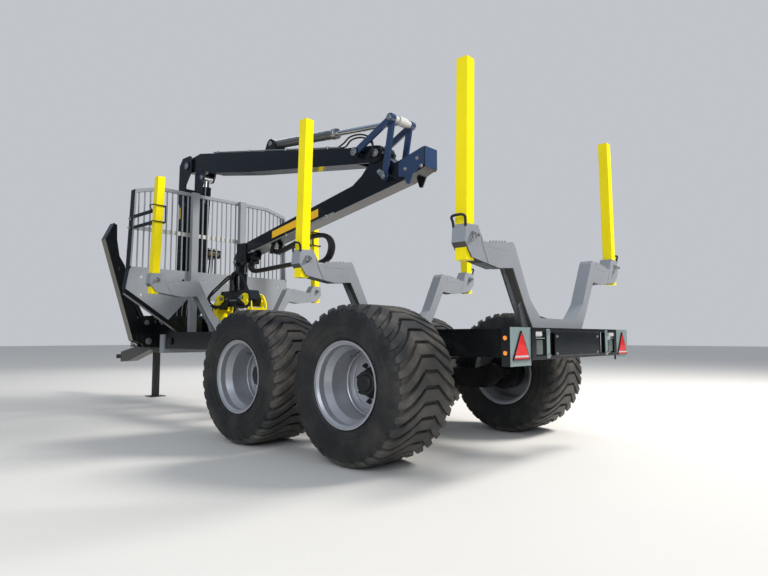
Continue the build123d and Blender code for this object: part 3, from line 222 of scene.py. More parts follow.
def paint(name, colour, roughness, dust=0.3, wear=0.0, coat=0.3, shine=0.5, metallic=0.0):
    """Sprayed machine paint: soft unevenness, dust on what faces up or is low, and rubbed edges."""
    s = Shader(name)
    shade = s.mix(s.noise(2.2, 4), tinted(colour, 0.86), tinted(colour, 1.12))
    streaks = s.band(s.noise(9, 5, stretch=(1, 1, 0.25)), none=0.42, full=0.75)
    low = s.band(s.height(), none=1.3, full=0.35)
    settled = s.times(s.plus(s.times(s.up(), 0.55), s.times(low, 0.6)), dust)
    dusty = s.times(settled, s.plus(streaks, 0.35))
    shade = s.mix(dusty, shade, DUST)
    if wear:
        chips = s.times(s.edges(0.003), s.band(s.noise(38, 4), none=0.5, full=0.62))
        shade = s.mix(s.times(chips, wear), shade, RUBBED_EDGE)
    rough = s.plus(s.times(s.noise(14, 4), 0.14), s.times(dusty, 0.45))
    s.set(
        Base_Color=shade,
        Roughness=s.plus(rough, roughness - 0.07),
        Coat_Weight=coat,
        Coat_Roughness=0.1,
        Specular_IOR_Level=shine,
        Metallic=metallic,
        Normal=s.bump(s.noise(420, 2), 0.05, 0.0006, s.rounded(0.003)),
    )
    return s.material


def rubber(name, colour, dust):
    """Dull rubber with pale dust in patches and specks."""
    s = Shader(name)
    shade = s.mix(s.noise(6, 5), tinted(colour, 0.7), tinted(colour, 1.9))
    film = s.times(s.band(s.noise(5, 6), none=0.4, full=0.72), dust)
    specks = s.times(s.band(s.noise(75, 4), none=0.6, full=0.74), dust * 0.6)
    shade = s.mix(s.plus(film, specks), shade, DUST)
    s.set(
        Base_Color=shade,
        Roughness=s.plus(s.times(s.noise(22, 4), 0.22), 0.46),
        Specular_IOR_Level=0.42,
        Normal=s.bump(s.noise(160, 5), 0.16, 0.0016, s.rounded(0.004)),
    )
    return s.material


def metal(name, colour, roughness, scratch=0.0):
    """Bare or plated steel with faint handling marks."""
    s = Shader(name)
    marks = s.noise(60, 5)
    s.set(
        Base_Color=s.mix(marks, tinted(colour, 0.8), colour),
        Metallic=1.0,
        Roughness=s.plus(s.times(marks, 0.18), roughness - 0.06),
        Normal=s.bump(s.noise(240, 3), scratch, 0.0006, s.rounded(0.0015)),
    )
    return s.material


def lens(name, colour, painted_glow=0.0):
    """The plastic of a reflector or lamp glass, with small prisms, and an optional painted glow."""
    s = Shader(name)
    prisms = s.add("ShaderNodeTexVoronoi", feature="F1")
    prisms.inputs["Scale"].default_value = 160
    s.join(s.place, prisms.inputs["Vector"])
    s.set(
        Base_Color=s.mix(prisms.outputs["Distance"], colour, tinted(colour, 0.45)),
        Roughness=0.16,
        Coat_Weight=0.9,
        Coat_Roughness=0.04,
        Emission_Color=colour,
        Emission_Strength=painted_glow,
        Normal=s.bump(prisms.outputs["Distance"], 0.35, 0.0015, s.rounded(0.001)),
    )
    return s.material


def floor_material():
    """The pale studio floor, very slightly uneven."""
    s = Shader("studio_floor")
    s.set(
        Base_Color=s.mix(s.noise(1.1, 4), tinted(FLOOR, 0.97), FLOOR),
        Roughness=0.78,
        Normal=s.bump(s.noise(180, 3), 0.03, 0.001),
    )
    return s.material


# The frame's slots
MATERIALS = {
    "frame_black": paint("frame_black", FRAME_BLACK, 0.24, dust=0.08, coat=0.25, shine=0.4),
    "crane_black": paint("crane_black", CRANE_BLACK, 0.2, dust=0.02, coat=0.3, shine=0.4),
    "bunk_grey": paint("bunk_grey", GREY_PAINT, 0.38, dust=0.16, wear=0.5, coat=0.15),
    "stake_yellow": paint("stake_yellow", YELLOW_PAINT, 0.36, dust=0.02, wear=0.25, coat=0.05, shine=0.3),
    # The legs' outward faces carry a painted reflection of the ground in brown
    "leg_grey": paint("leg_grey", LEG_GROUND_REFLECTION_BROWN, 0.38, dust=0.2, wear=0.25, coat=0.15),
    "rim_silver": paint("rim_silver", RIM_PAINT, 0.36, dust=0.2, coat=0.25, metallic=0.55),
    "tyre_rubber": rubber("tyre_rubber", RUBBER, 0.11),
    "chrome_rod": metal("chrome_rod", CHROME, 0.12),
    "zinc": metal("zinc", ZINC, 0.34, 0.08),
    "cast_black": paint("cast_black", FRAME_BLACK, 0.5, dust=0.15, wear=0.5, coat=0.0),
    # The red reflectors have a painted glow
    "reflector_red": lens("reflector_red", REFLECTOR_RED, 0.25),
}
# Further finishes
# The tread: more dust, and a paler rubber that is a painted sheen
TREAD = rubber("tread_rubber_and_painted_sheen", TREAD_RUBBER_AND_PAINTED_SHEEN, 0.3)
# The drawbar's dark grey, also used as painted shade under the bunks
UNDERSIDE_SHADE_AND_DRAWBAR_GREY = paint("drawbar_grey_and_underside_shade", DRAWBAR_GREY_AND_UNDERSIDE_SHADE, 0.45, dust=0.3, coat=0.1)
# Black link paint with the sky's blue as a painted reflection; its wear of 0.8 makes the edges pale
LINK_BLACK_AND_PAINTED_SKY = paint("link_black_painted_sky_reflection", LINK_SKY_REFLECTION_BLUE, 0.22, dust=0.02, wear=0.8, coat=0.6)
BARREL = paint("barrel_grey", BARREL_GREY, 0.24, dust=0.05, coat=0.4, metallic=0.4)
PLATE_PAINT_AND_POST_REFLECTION = paint("lamp_plate", LAMP_PLATE_AND_POST_REFLECTION, 0.3, dust=0.1, coat=0.4)
HOSE = rubber("hose_rubber", HOSE_RUBBER, 0.04)
# The amber side glasses have a painted glow
AMBER_LENS = lens("amber_lens", AMBER, 0.5)
WHITE_LENS = lens("white_lens", CLEAR)
SMOKED_LENS = lens("smoked_lens", SMOKED)
SILVER = paint("silver", SILVER_PAINT, 0.34, dust=0.05, wear=0.2, coat=0.2)
WARNING = paint("warning_strip", WARNING_YELLOW, 0.3, dust=0.03)

# Nodes whose whole surface differs from their slot's plain finish
OWN_FINISH = {
    "jack_leg": MATERIALS["cast_black"],
    "jib_barrel": BARREL,
    # The links take the black paint with the painted sky reflection
    "link_boom": LINK_BLACK_AND_PAINTED_SKY,
    "link_jib": LINK_BLACK_AND_PAINTED_SKY,
    "bogie_shaft": MATERIALS["cast_black"],
    "drawbar": UNDERSIDE_SHADE_AND_DRAWBAR_GREY,
}
LEG_TIP_Z = 2.1            # above it a stabiliser's leg is black all round
HEAD_ARM_Y = 1.1           # the headboard's black arms lie outside this, and above the next level
HEAD_ARM_Z = 1.5
CROSSBAR_X = -2.1          # the jib cylinder's pale crossbar lies behind this
TAIL_PLATE_X = -2.15       # the jib's tail plates lie behind this and outside the next
TAIL_PLATE_Y = 0.092
TAIL_END_X = -2.4
# Faces of a node that have another finish: node, finish, and a test of the face's normal and middle
FACE_FINISH = [
    # A stabiliser leg is black; only its outward faces keep the brown painted ground reflection
    ("stabiliser_leg_left", MATERIALS["frame_black"], lambda n, c: n.y < 0.5 or c.z > LEG_TIP_Z),
    ("stabiliser_leg_right", MATERIALS["frame_black"], lambda n, c: n.y > -0.5 or c.z > LEG_TIP_Z),
    ("lamp_plates", PLATE_PAINT_AND_POST_REFLECTION, lambda n, c: n.x < -0.9),
    ("headboard_grille", MATERIALS["frame_black"], lambda n, c: abs(c.y) > HEAD_ARM_Y and c.z > HEAD_ARM_Z),
    ("jib_rod", SILVER, lambda n, c: c.x < CROSSBAR_X),
    # The jib's tail plates and rear end take the links' painted sky reflection
    ("jib", LINK_BLACK_AND_PAINTED_SKY,
     lambda n, c: c.x < TAIL_PLATE_X and abs(c.y) > TAIL_PLATE_Y or n.x < -0.8 and c.x < TAIL_END_X),
]
# The bunks' downward faces are painted dark grey: painted shade under the bunks
FACE_FINISH += [(f"bunk_{end}", UNDERSIDE_SHADE_AND_DRAWBAR_GREY, lambda n, c: n.z < -0.25) for end in BUNK_X]


def dress_nodes():
    """Gives every CAD node the material of its slot or its own, then marks the faces that differ."""
    slots = {part["node"]: part["material_slot"] for part in frame["record"]["subparts"]}
    for name, thing in frame["nodes"].items():
        material = OWN_FINISH.get(name, MATERIALS[slots[name]])
        if not thing.material_slots:
            thing.data.materials.append(material)
        for slot in thing.material_slots:
            slot.material = material
    for name, material, differs in FACE_FINISH:
        mesh = frame["nodes"][name].data
        mesh.materials.append(material)
        index = len(mesh.materials) - 1
        for face in mesh.polygons:
            if differs(face.normal, face.center):
                face.material_index = index


# Mesh helpers

def new_piece(name, mesh_builder, material, body, sharp=30):
    """A mesh object that rides on a body; edges sharper than an angle stay sharp."""
    mesh = bpy.data.meshes.new(name)
    bmesh.ops.recalc_face_normals(mesh_builder, faces=mesh_builder.faces)
    mesh_builder.to_mesh(mesh)
    mesh_builder.free()
    piece = bpy.data.objects.new(name, mesh)
    bpy.context.scene.collection.objects.link(piece)
    mesh.materials.append(material)
    mesh.shade_smooth()
    mesh.set_sharp_from_angle(angle=math.radians(sharp))
    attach(piece, body)
    return piece


def grid_faces(bm, rows, closed_rows=False, closed_columns=False):
    """Joins rows of vertices into quads."""
    count = len(rows)
    for i in range(count if closed_rows else count - 1):
        first, second = rows[i], rows[(i + 1) % count]
        width = len(first)
        for j in range(width if closed_columns else width - 1):
            k = (j + 1) % width
            bm.faces.new((first[j], first[k], second[k], second[j]))


def close_ends(bm, rows):
    """Closes the first and last of a tube's rows."""
    bm.faces.new(rows[0])
    bm.faces.new(list(reversed(rows[-1])))


def around(count, start=0):
    """Angles spread evenly round a circle; start is a share of a step."""
    return [2 * math.pi * (k + start) / count for k in range(count)]


def on_circle(middle, circle, angle):
    """A point on a circle that lies square to the Y axis."""
    x, y, z = middle
    return x + circle * math.cos(angle), y, z + circle * math.sin(angle)


def span(sign, near, far):
    """Two distances from the middle plane as places along Y on one side, the lower first."""
    return sorted((sign * near, sign * far))


def rectangle(across, along):
    """The corners between two pairs of values."""
    return [(across[0], along[0]), (across[1], along[0]), (across[1], along[1]), (across[0], along[1])]


def square_to(direction):
    """Two unit vectors square to a direction and to each other."""
    other = Vector((0, 0, 1)) if abs(direction.z) < 0.9 else Vector((1, 0, 0))
    first = direction.cross(other).normalized()
    return first, direction.cross(first)


def smooth_path(points, steps):
    """A smooth line through points."""
    points = [Vector(p) for p in points]
    ends = [points[0] * 2 - points[1]] + points + [points[-1] * 2 - points[-2]]
    path = []
    for a, b, c, d in zip(ends, ends[1:], ends[2:], ends[3:]):
        for step in range(steps):
            t = step / steps
            path.append(0.5 * (2 * b + (c - a) * t + (2 * a - 5 * b + 4 * c - d) * t * t
                               + (3 * b - a - 3 * c + d) * t * t * t))
    return path + [points[-1]]


class Form:
    """Turned forms, plates, pipes and bolts gathered into one mesh."""

    def __init__(self):
        self.bm = bmesh.new()

    def circles(self, place, direction, profile, sides):
        """Rows of vertices round a direction, one for each distance along it and radius."""
        direction = Vector(direction).normalized()
        u, v = square_to(direction)
        rows = []
        for along, radius in profile:
            middle = Vector(place) + direction * along
            rows.append([
                self.bm.verts.new(middle + (u * math.cos(a) + v * math.sin(a)) * radius)
                for a in around(sides)
            ])
        return rows

    def turned(self, place, direction, profile, sides=24):
        """A closed form turned about a direction: rows of distance along it and radius."""
        rows = self.circles(place, direction, profile, sides)
        grid_faces(self.bm, rows, closed_columns=True)
        close_ends(self.bm, rows)

    def ring(self, place, direction, profile, sides=48):
        """A ring turned about a direction: a closed section of distance along it and radius."""
        rows = self.circles(place, direction, profile, sides)
        grid_faces(self.bm, rows, closed_rows=True, closed_columns=True)

    def plate(self, outline, axis, low, high, edge=0.002):
        """A flat plate with broken edges: its outline in the plane across an axis, and its two levels."""
        in_plane = [i for i in range(3) if i != axis]
        rings = []
        for level in (low, high):
            ring = []
            for pair in outline:
                point = [level] * 3
                point[in_plane[0]], point[in_plane[1]] = pair
                ring.append(self.bm.verts.new(point))
            rings.append(ring)
        count = len(outline)
        faces = [self.bm.faces.new(rings[0]), self.bm.faces.new(list(reversed(rings[1])))]
        for i in range(count):
            k = (i + 1) % count
            faces.append(self.bm.faces.new((rings[0][i], rings[0][k], rings[1][k], rings[1][i])))
        bmesh.ops.recalc_face_normals(self.bm, faces=faces)
        edges = list({e for f in faces for e in f.edges})
        bmesh.ops.bevel(self.bm, geom=edges, offset=edge, segments=1, profile=0.5, affect="EDGES")

    def block(self, x, y, z, edge=0.004):
        """A block with broken edges between pairs of x, y and z."""
        self.plate(rectangle(x, y), 2, z[0], z[1], edge)

    def pipe(self, points, radius, sides=12, steps=6, rib=0.0, wide=1.0):
        """A bent tube through points, ribbed where it is guarded; wide widens it along Y."""
        path = smooth_path(points, steps)
        last = len(path) - 1
        side = Vector((0, 1, 0)) if wide > 1 else square_to((path[1] - path[0]).normalized())[0]
        rows = []
        for i, place in enumerate(path):
            along = (path[min(i + 1, last)] - path[max(i - 1, 0)]).normalized()
            side = (side - along * side.dot(along)).normalized()
            other = along.cross(side)
            reach = radius + (rib if i % 2 else 0.0)
            rows.append([
                self.bm.verts.new(place + (side * math.cos(a) * wide + other * math.sin(a)) * reach)
                for a in around(sides)
            ])
        grid_faces(self.bm, rows, closed_columns=True)
        close_ends(self.bm, rows)

    def bolt(self, place, direction, size, stud=0.25):
        """A washer, a chamfered hexagon and a stud's end; size is across the corners."""
        r = size / 2
        self.turned(place, direction, [(0, r * 1.2), (r * 0.2, r * 1.2), (r * 0.26, r * 1.12)], 18)
        self.turned(place, direction, [(r * 0.2, r), (r * 0.8, r), (r * 0.95, r * 0.84)], 6)
        if stud:
            self.turned(place, direction, [(r * 0.9, r * 0.5), (r * (0.9 + stud * 2), r * 0.46)], 12)

    def cap(self, place, direction, radius):
        """A pin's end: a stepped disc with a greaser."""
        r = radius
        profile = [
            (0, r), (0.006, r), (0.009, r * 0.93), (0.009, r * 0.5), (0.012, r * 0.44), (0.012, r * 0.2),
            (0.015, r * 0.18),
        ]
        self.turned(place, direction, profile, 28)

    def finish(self, name, body, slot, material=None):
        """Makes the piece, in its slot's plain finish unless another is given."""
        return new_piece(name, self.bm, material or MATERIALS[slot], body)


# Tyres

LUGS = 34
LUG_FLAT = 0.065           # half of the flat middle of a lug's chevron
LUG_SWEEP = 1.0            # how far a lug falls back along the tread for each step outwards
LUG_EASING = 0.25          # the share of the sweep that is lost at LUG_REACH outside the flat
LUG_REACH = 0.22
LUG_DEPTH = 0.034          # from a lug's top to its root inside the carcass
LUG_CHAMFER = 0.003
LUG_TOP_SHARE = 0.9        # widths of the flat top and of the root as shares of the lug's
LUG_ROOT_SHARE = 1.16
SHOULDER_Y = 0.27          # beyond this the roots are drawn inwards a little
SHOULDER_INWARD = 0.985
TYRE_STEPS = 136
TREAD_INNER = 0.515        # the tread's finish starts at this radius
TYRE_SHARP = 28            # degrees
CARCASS = [
    # radius, distance from the tyre's middle plane
    (0.284, 0.2480), (0.300, 0.2575), (0.310, 0.2650), (0.325, 0.2755), (0.331, 0.2760), (0.337, 0.2790),
    (0.350, 0.2820), (0.352, 0.2850), (0.357, 0.2855), (0.360, 0.2835), (0.385, 0.2885), (0.404, 0.2905),
    (0.406, 0.2942), (0.416, 0.2948), (0.419, 0.2922), (0.450, 0.2930), (0.478, 0.2880), (0.500, 0.2780),
    (0.516, 0.2600), (0.524, 0.2330), (0.5285, 0.1800), (0.5305, 0.1000), (0.531, 0.0),
]
LUG_TOP = [
    # distance outwards, radius, half width along the tread
    (0.0, 0.5560, 0.0385), (0.040, 0.5560, 0.0385), (0.065, 0.5558, 0.0380), (0.090, 0.5556, 0.0360),
    (0.130, 0.5552, 0.0335), (0.170, 0.5545, 0.0315), (0.205, 0.5530, 0.0300), (0.236, 0.5500, 0.0290),
    (0.254, 0.5425, 0.0280), (0.268, 0.5290, 0.0270), (0.2795, 0.5120, 0.0255), (0.2860, 0.4930, 0.0235),
    (0.2890, 0.4760, 0.0200),
]


def lug_lag(y):
    """How far a lug trails its middle, in metres of tread, at a distance from the middle plane."""
    outwards = max(0.0, abs(y) - LUG_FLAT)
    return LUG_SWEEP * (outwards - LUG_EASING * outwards * outwards / LUG_REACH)


def wheel_point(radius, y, angle):
    """A point on a wheel about the Y axis; the angle grows as the wheel rolls forward."""
    return Vector((radius * math.sin(angle), y, radius * math.cos(angle)))


def tyre_mesh():
    """One flotation tyre about the origin: the carcass and its swept lugs."""
    bm = bmesh.new()
    profile = CARCASS + [(r, -y) for r, y in reversed(CARCASS[:-1])]
    rows = [[bm.verts.new(wheel_point(r, y, angle)) for r, y in profile] for angle in around(TYRE_STEPS)]
    grid_faces(bm, rows, closed_rows=True, closed_columns=True)
    stations = [(-y, r, w) for y, r, w in reversed(LUG_TOP[1:])] + LUG_TOP
    for start in around(LUGS):
        strips = []
        for y, top, half in stations:
            middle = start - lug_lag(y) / TYRE_RADIUS
            root = top - LUG_DEPTH
            inward = SHOULDER_INWARD if abs(y) > SHOULDER_Y else 1.0
            spread = half / TYRE_RADIUS
            loop = [
                wheel_point(root, y * inward, middle - spread * LUG_ROOT_SHARE),
                wheel_point(top - LUG_CHAMFER, y, middle - spread),
                wheel_point(top, y, middle - spread * LUG_TOP_SHARE),
                wheel_point(top, y, middle + spread * LUG_TOP_SHARE),
                wheel_point(top - LUG_CHAMFER, y, middle + spread),
                wheel_point(root, y * inward, middle + spread * LUG_ROOT_SHARE),
            ]
            strips.append([bm.verts.new(p) for p in loop])
        grid_faces(bm, strips)
        close_ends(bm, strips)
    return bm


def wheels():
    """Each wheel's end and side of the trailer, its x and the sign of its y."""
    for end, x in WHEEL_X.items():
        for side, sign in SIDES.items():
            yield end, side, x, sign


def add_tyres():
    """Four tyres in place of the plain ones."""
    for end, side, x, sign in wheels():
        bm = tyre_mesh()
        bmesh.ops.translate(bm, verts=bm.verts, vec=(x, sign * WHEEL_Y, TYRE_RADIUS))
        name, body = f"lugged_tyre_{end}_{side}", f"wheel_{end}_{side}"
        tyre = new_piece(name, bm, MATERIALS["tyre_rubber"], body, TYRE_SHARP)
        # Faces beyond TREAD_INNER take the tread's dust and painted sheen
        tyre.data.materials.append(TREAD)
        for face in tyre.data.polygons:
            reach = math.hypot(face.center.x - x, face.center.z - TYRE_RADIUS)
            face.material_index = int(reach > TREAD_INNER)
        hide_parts(f"tyre_{end}_{side}")


# Wheel hubs

HUB_COVER = [
    # distance out from the disc, radius
    (0.0, 0.112), (0.012, 0.112), (0.016, 0.106), (0.030, 0.094), (0.060, 0.088), (0.080, 0.085),
    (0.084, 0.080), (0.084, 0.062), (0.094, 0.058), (0.099, 0.050), (0.099, 0.012), (0.102, 0.010),
]
DISC_RINGS = [
    # closed sections: distance out from the disc, radius
    [(-0.002, 0.2395), (0.030, 0.2395), (0.035, 0.234), (0.030, 0.228), (-0.002, 0.224)],
    [(-0.002, 0.203), (0.009, 0.199), (0.013, 0.192), (0.009, 0.185), (-0.002, 0.181)],
]
DISC_Y = 1.0
NUTS = 8
NUT_CIRCLE = 0.1375
NUT_SIZE = 0.034
HUB_BOLT_CIRCLE = 0.097
HUB_BOLT_OUT = 0.014       # from the disc
VALVE_AIM = (0.5, 0.866)   # x and z of the direction from the wheel's middle to its valve
VALVE_STEM = [
    # distance from the wheel's middle, distance from the trailer's middle plane
    (0.238, 1.055), (0.222, 1.06), (0.214, 1.08), (0.212, 1.115),
]


def add_hubs():
    """Black hubs with their wheel nuts, the disc's pressed rings, and the valves."""
    for end, side, x, sign in wheels():
        body = f"wheel_{end}_{side}"
        out = (0, sign, 0)
        disc = (x, sign * DISC_Y, TYRE_RADIUS)
        bolts = (x, sign * (DISC_Y + HUB_BOLT_OUT), TYRE_RADIUS)
        hub = Form()
        hub.turned(disc, out, HUB_COVER, 40)
        for angle in around(NUTS, start=0.5):
            hub.bolt(on_circle(bolts, HUB_BOLT_CIRCLE, angle), out, 0.016, stud=0)
        hub.finish(f"hub_{end}_{side}", body, "cast_black")
        nuts = Form()
        for angle in around(NUTS, start=0.3):
            nuts.bolt(on_circle(disc, NUT_CIRCLE, angle), out, NUT_SIZE, stud=0.45)
        nuts.finish(f"wheel_nuts_{end}_{side}", body, "cast_black")
        rings = Form()
        for section in DISC_RINGS:
            rings.ring(disc, out, section)
        rings.finish(f"disc_rings_{end}_{side}", body, "rim_silver")
        valve = Form()
        stem = [(x + r * VALVE_AIM[0], sign * y, TYRE_RADIUS + r * VALVE_AIM[1]) for r, y in VALVE_STEM]
        valve.pipe(stem, 0.005, 10)
        valve.turned(stem[-1], out, [(0, 0.0065), (0.016, 0.0065), (0.019, 0.005)], 12)
        valve.finish(f"valve_{end}_{side}", body, "zinc")


# Bunks and stakes

JOINT_WELD = [(1.026, 1.505), (1.012, 1.452), (0.958, 1.356), (0.945, 1.336)]     # y, z
STRIP_EDGES = [(0.945, 1.44), (0.715, 1.44), (0.715, 1.492)]     # y, z of a toothed strip's plain edges
TEETH = 6
FIRST_TOOTH_Y = 0.722
TOOTH_PITCH = 0.036
TOOTH = [(0, 0), (0.010, 0.014), (0.018, 0.014), (0.029, -0.004)]
TOOTH_FOOT = (0.76, 1.488)         # y, z of a point on the line that the teeth stand on, and its fall
TOOTH_FALL = 0.115
HANDLE_TOP = (0, 1.208, 1.61)
HANDLE_LEG = [(0.043, 1.185, 1.54), (0.046, 1.189, 1.575), (0.049, 1.198, 1.596), (0.036, 1.206, 1.607)]
GUARD_LEVELS = [(2.295, 2.262), (2.117, 2.122)]     # round the stake, and at the tie
GUARD_RADIUS = 0.0065
SIDE_PLATE = (1.159, 1.436)        # y, z of the foot of the headboard's side plate, which leans in
SIDE_PLATE_LEAN = 0.0593


def add_sockets(end, x):
    """A bunk's socket bolts and joint welds."""
    bolts, welds = Form(), Form()
    for sign in SIGNS:
        for back in (-1, 1):
            face = x + back * BUNK_HALF
            bolts.bolt((face, sign * 1.12, 1.488), (back, 0, 0), 0.046, 0.5)
            welds.pipe([(face, sign * y, z) for y, z in JOINT_WELD], 0.0035, 8)
    bolts.finish(f"socket_bolts_{end}", "chassis", "zinc")
    welds.finish(f"socket_welds_{end}", "chassis", "bunk_grey")


def add_teeth(end, x):
    """The serrated strips on both faces of a bunk's arms."""
    outline = list(STRIP_EDGES)
    for k in range(TEETH):
        y = FIRST_TOOTH_Y + TOOTH_PITCH * k
        foot = TOOTH_FOOT[1] - TOOTH_FALL * (y - TOOTH_FOOT[0])
        outline += [(y + dy, foot + dz) for dy, dz in TOOTH]
    teeth = Form()
    for sign in SIGNS:
        for back in (-1, 1):
            low, high = sorted((x + back * (BUNK_HALF - 0.008), x + back * (BUNK_HALF + 0.001)))
            teeth.plate([(sign * y, z) for y, z in outline], 0, low, high, 0.001)
    teeth.finish(f"bunk_teeth_{end}", "chassis", "bunk_grey")


def add_handles(end, x):
    """The bar handles at a bunk's ends."""
    line = [(-dx, y, z) for dx, y, z in HANDLE_LEG] + [HANDLE_TOP] + HANDLE_LEG[::-1]
    handles = Form()
    for sign in SIGNS:
        handles.pipe([(x + dx, sign * y, z) for dx, y, z in line], 0.0085, 10)
    handles.finish(f"socket_handles_{end}", "chassis", "cast_black")


def add_bunk_fittings():
    """Bolts, welds and teeth on every bunk, and handles on the two that have them."""
    for end, x in BUNK_X.items():
        add_sockets(end, x)
        add_teeth(end, x)
        if end != "front":
            add_handles(end, x)


def add_stake_guards():
    """Bent rods that tie the front stakes to the grille."""
    guards = Form()
    for sign in SIGNS:
        for level, tie in GUARD_LEVELS:
            line = [
                (0.62, 1.082, tie), (0.50, 1.07, tie + 0.01), (0.42, 1.05, level), (0.350, 1.046, level),
                (0.333, 1.052, level), (0.330, 1.07, level), (0.330, 1.16, level), (0.333, 1.182, level),
                (0.350, 1.189, level), (0.42, 1.187, level), (0.50, 1.13, tie + 0.01), (0.62, 1.104, tie),
            ]
            guards.pipe([(x, sign * y, z) for x, y, z in line], GUARD_RADIUS, 10)
        guards.pipe([(0.345, sign * 1.046, z) for z in (2.295, 2.24, 2.18, 2.117)], GUARD_RADIUS, 10)
    guards.finish("stake_guards", "chassis", "cast_black")
    bolts = Form()
    for sign in SIGNS:
        for level in (2.142, 2.25):
            out = SIDE_PLATE[0] - (level - SIDE_PLATE[1]) * SIDE_PLATE_LEAN
            bolts.bolt((1.055, sign * out, level), (0, sign, 0.06), 0.03, 0.4)
    bolts.finish("tie_bolts", "chassis", "zinc")


# Rear bar

BAR_X = -3.82
POST_FACE_X = BAR_X - 0.004
PLATE_FACE_X = BAR_X - 0.003
# Flat pieces: places across, levels
POST = ((0.462, 0.508), (0.742, 0.932))
CLEAR_LAMP = ((0.556, 0.66), (0.883, 0.919))
LAMP = ((0.545, 0.63), (0.765, 0.86))
DIVIDER = ((0.52, 0.65), (0.875, 0.868))     # between the two lamps
CENTRE_PLATE = ((-0.34, 0.39), (0.752, 0.905))
TRIANGLE = [(-0.098, 0.0), (0.098, 0.0), (0.0, 0.174)]
TRIANGLE_Y = 0.829
TRIANGLE_Z = 0.742
TRIANGLE_BAND = [(-0.088, 0.014), (0.088, 0.014), (0.0822, 0.024), (-0.0822, 0.024)]
MARKER_X = -3.782
MARKER_Y = 0.956
MARKER_LEVELS = (0.783, 0.874)


def mirrored(sign, piece):
    """The corners of a flat piece on one side of the trailer."""
    across, levels = piece
    return rectangle(span(sign, *across), levels)


def add_rear_bar():
    """Posts, lamps, marker seats, the blank centre plate, and the reflectors' frames and bands."""
    strips, plates, lamps, bolts, bands, glass = Form(), Form(), Form(), Form(), Form(), Form()
    for sign in SIGNS:
        strips.plate(mirrored(sign, POST), 0, POST_FACE_X, BAR_X)
        for level in (0.762, 0.912):
            bolts.bolt((POST_FACE_X, sign * 0.485, level), (-1, 0, 0), 0.02, 0.3)
        glass.plate(mirrored(sign, CLEAR_LAMP), 0, BAR_X + 0.002, BAR_X + 0.022, 0.005)
        lamps.plate(mirrored(sign, LAMP), 0, BAR_X + 0.006, BAR_X + 0.028, 0.004)
        across, levels = DIVIDER
        strips.plate(rectangle([sign * y for y in across], levels), 0, BAR_X + 0.004, BAR_X + 0.024)
        band = [(sign * TRIANGLE_Y + dy, TRIANGLE_Z + dz) for dy, dz in TRIANGLE_BAND]
        bands.plate(band, 0, BAR_X - 0.0012, BAR_X, 0.0004)
        for edge in zip(TRIANGLE, TRIANGLE[1:] + TRIANGLE[:1]):
            ends = [(BAR_X + 0.004, sign * TRIANGLE_Y + dy, TRIANGLE_Z + dz) for dy, dz in edge]
            plates.pipe(ends, 0.0055, 8, 1)
        for level in MARKER_LEVELS:
            spot = (MARKER_X, sign * MARKER_Y, level)
            plates.turned(spot, (0, sign, 0), [(0, 0.018), (0.006, 0.018), (0.008, 0.014)], 24)
    plates.plate(rectangle(*CENTRE_PLATE), 0, PLATE_FACE_X, BAR_X + 0.004)
    for y in (-0.31, 0.36):
        for level in (0.772, 0.885):
            bolts.bolt((PLATE_FACE_X, y, level), (-1, 0, 0), 0.016, 0)
    # The posts and lamp dividers take the teal plate paint; on the polished posts it is a painted
    # reflection of grass
    strips.finish("rear_posts", "chassis", "zinc", PLATE_PAINT_AND_POST_REFLECTION)
    plates.finish("rear_plates", "chassis", "crane_black")
    lamps.finish("rear_lamps", "chassis", "reflector_red", SMOKED_LENS)
    glass.finish("rear_clear_lamps", "chassis", "reflector_red", WHITE_LENS)
    bolts.finish("rear_bolts", "chassis", "zinc")
    bands.finish("reflector_bands", "chassis", "reflector_red", WHITE_LENS)


def add_side_markers():
    """The amber glasses on the lamp plates' outer sides."""
    markers = Form()
    for sign in SIGNS:
        for level in MARKER_LEVELS:
            profile = [(0.005, 0.0135), (0.010, 0.0135), (0.014, 0.010), (0.0155, 0.005)]
            markers.turned((MARKER_X, sign * MARKER_Y, level), (0, sign, 0), profile, 20)
    markers.finish("side_markers", "chassis", "reflector_red", AMBER_LENS)


# Crane

PIN_CAPS = [
    # body, x, z, distance of the face from the middle, radius
    ("crane_pillar", 1.590, 3.200, 0.144, 0.046),
    ("crane_pillar", 1.430, 1.480, 0.0846, 0.034),
    ("boom", 1.290, 3.000, 0.0846, 0.034),
    ("boom", -0.197, 3.119, 0.0726, 0.03),
    ("boom", -1.908, 2.626, 0.114, 0.038),
    ("outer_links", -1.674, 2.674, 0.170, 0.038),
    ("outer_links", -2.141, 2.900, 0.170, 0.03),
    ("extension", 0.472, 1.790, 0.076, 0.028),
    ("grapple", 0.692, 1.350, 0.124, 0.026),
    ("grapple", 0.252, 1.350, 0.124, 0.026),
]
LEG_PIN_X = 1.775
LEG_PINS = [
    # distance from the middle plane, level, radius
    (0.531, 1.069, 0.032), (0.500, 0.828, 0.042),
]
KEEPER = [(-2.075, 2.352), (-2.040, 2.338), (-1.966, 2.416), (-1.996, 2.446), (-2.055, 2.408)]     # x, z
KEEPER_SPAN = (0.1495, 0.1555)
KEEPER_BOLTS = [(-2.043, 2.373), (-1.990, 2.420)]
TAIL_BOLTS = [(-2.407, 2.472), (-2.458, 2.394), (-2.27, 2.40)]
TAIL_FACE_Y = 0.099
JIB_CYLINDER_FOOT = (-0.197, 0, 3.119)
JIB_CYLINDER_AIM = (-0.993714, 0, -0.111946)
JIB_BARREL_RADIUS = 0.052
GLAND_ALONG = 1.015                # from the cylinder's foot
BOOM_TOP_REAR = (-1.650, 2.735)    # x, z of the ends of the boom's straight upper edge
BOOM_TOP_FRONT = (1.312, 3.320)
TUBE_Y = (0.058, 0.084)
WARNING_OUTLINE = [(-1.067, 2.133), (-0.280, 1.996), (-0.280, 2.073), (-1.067, 2.218)]     # x, z
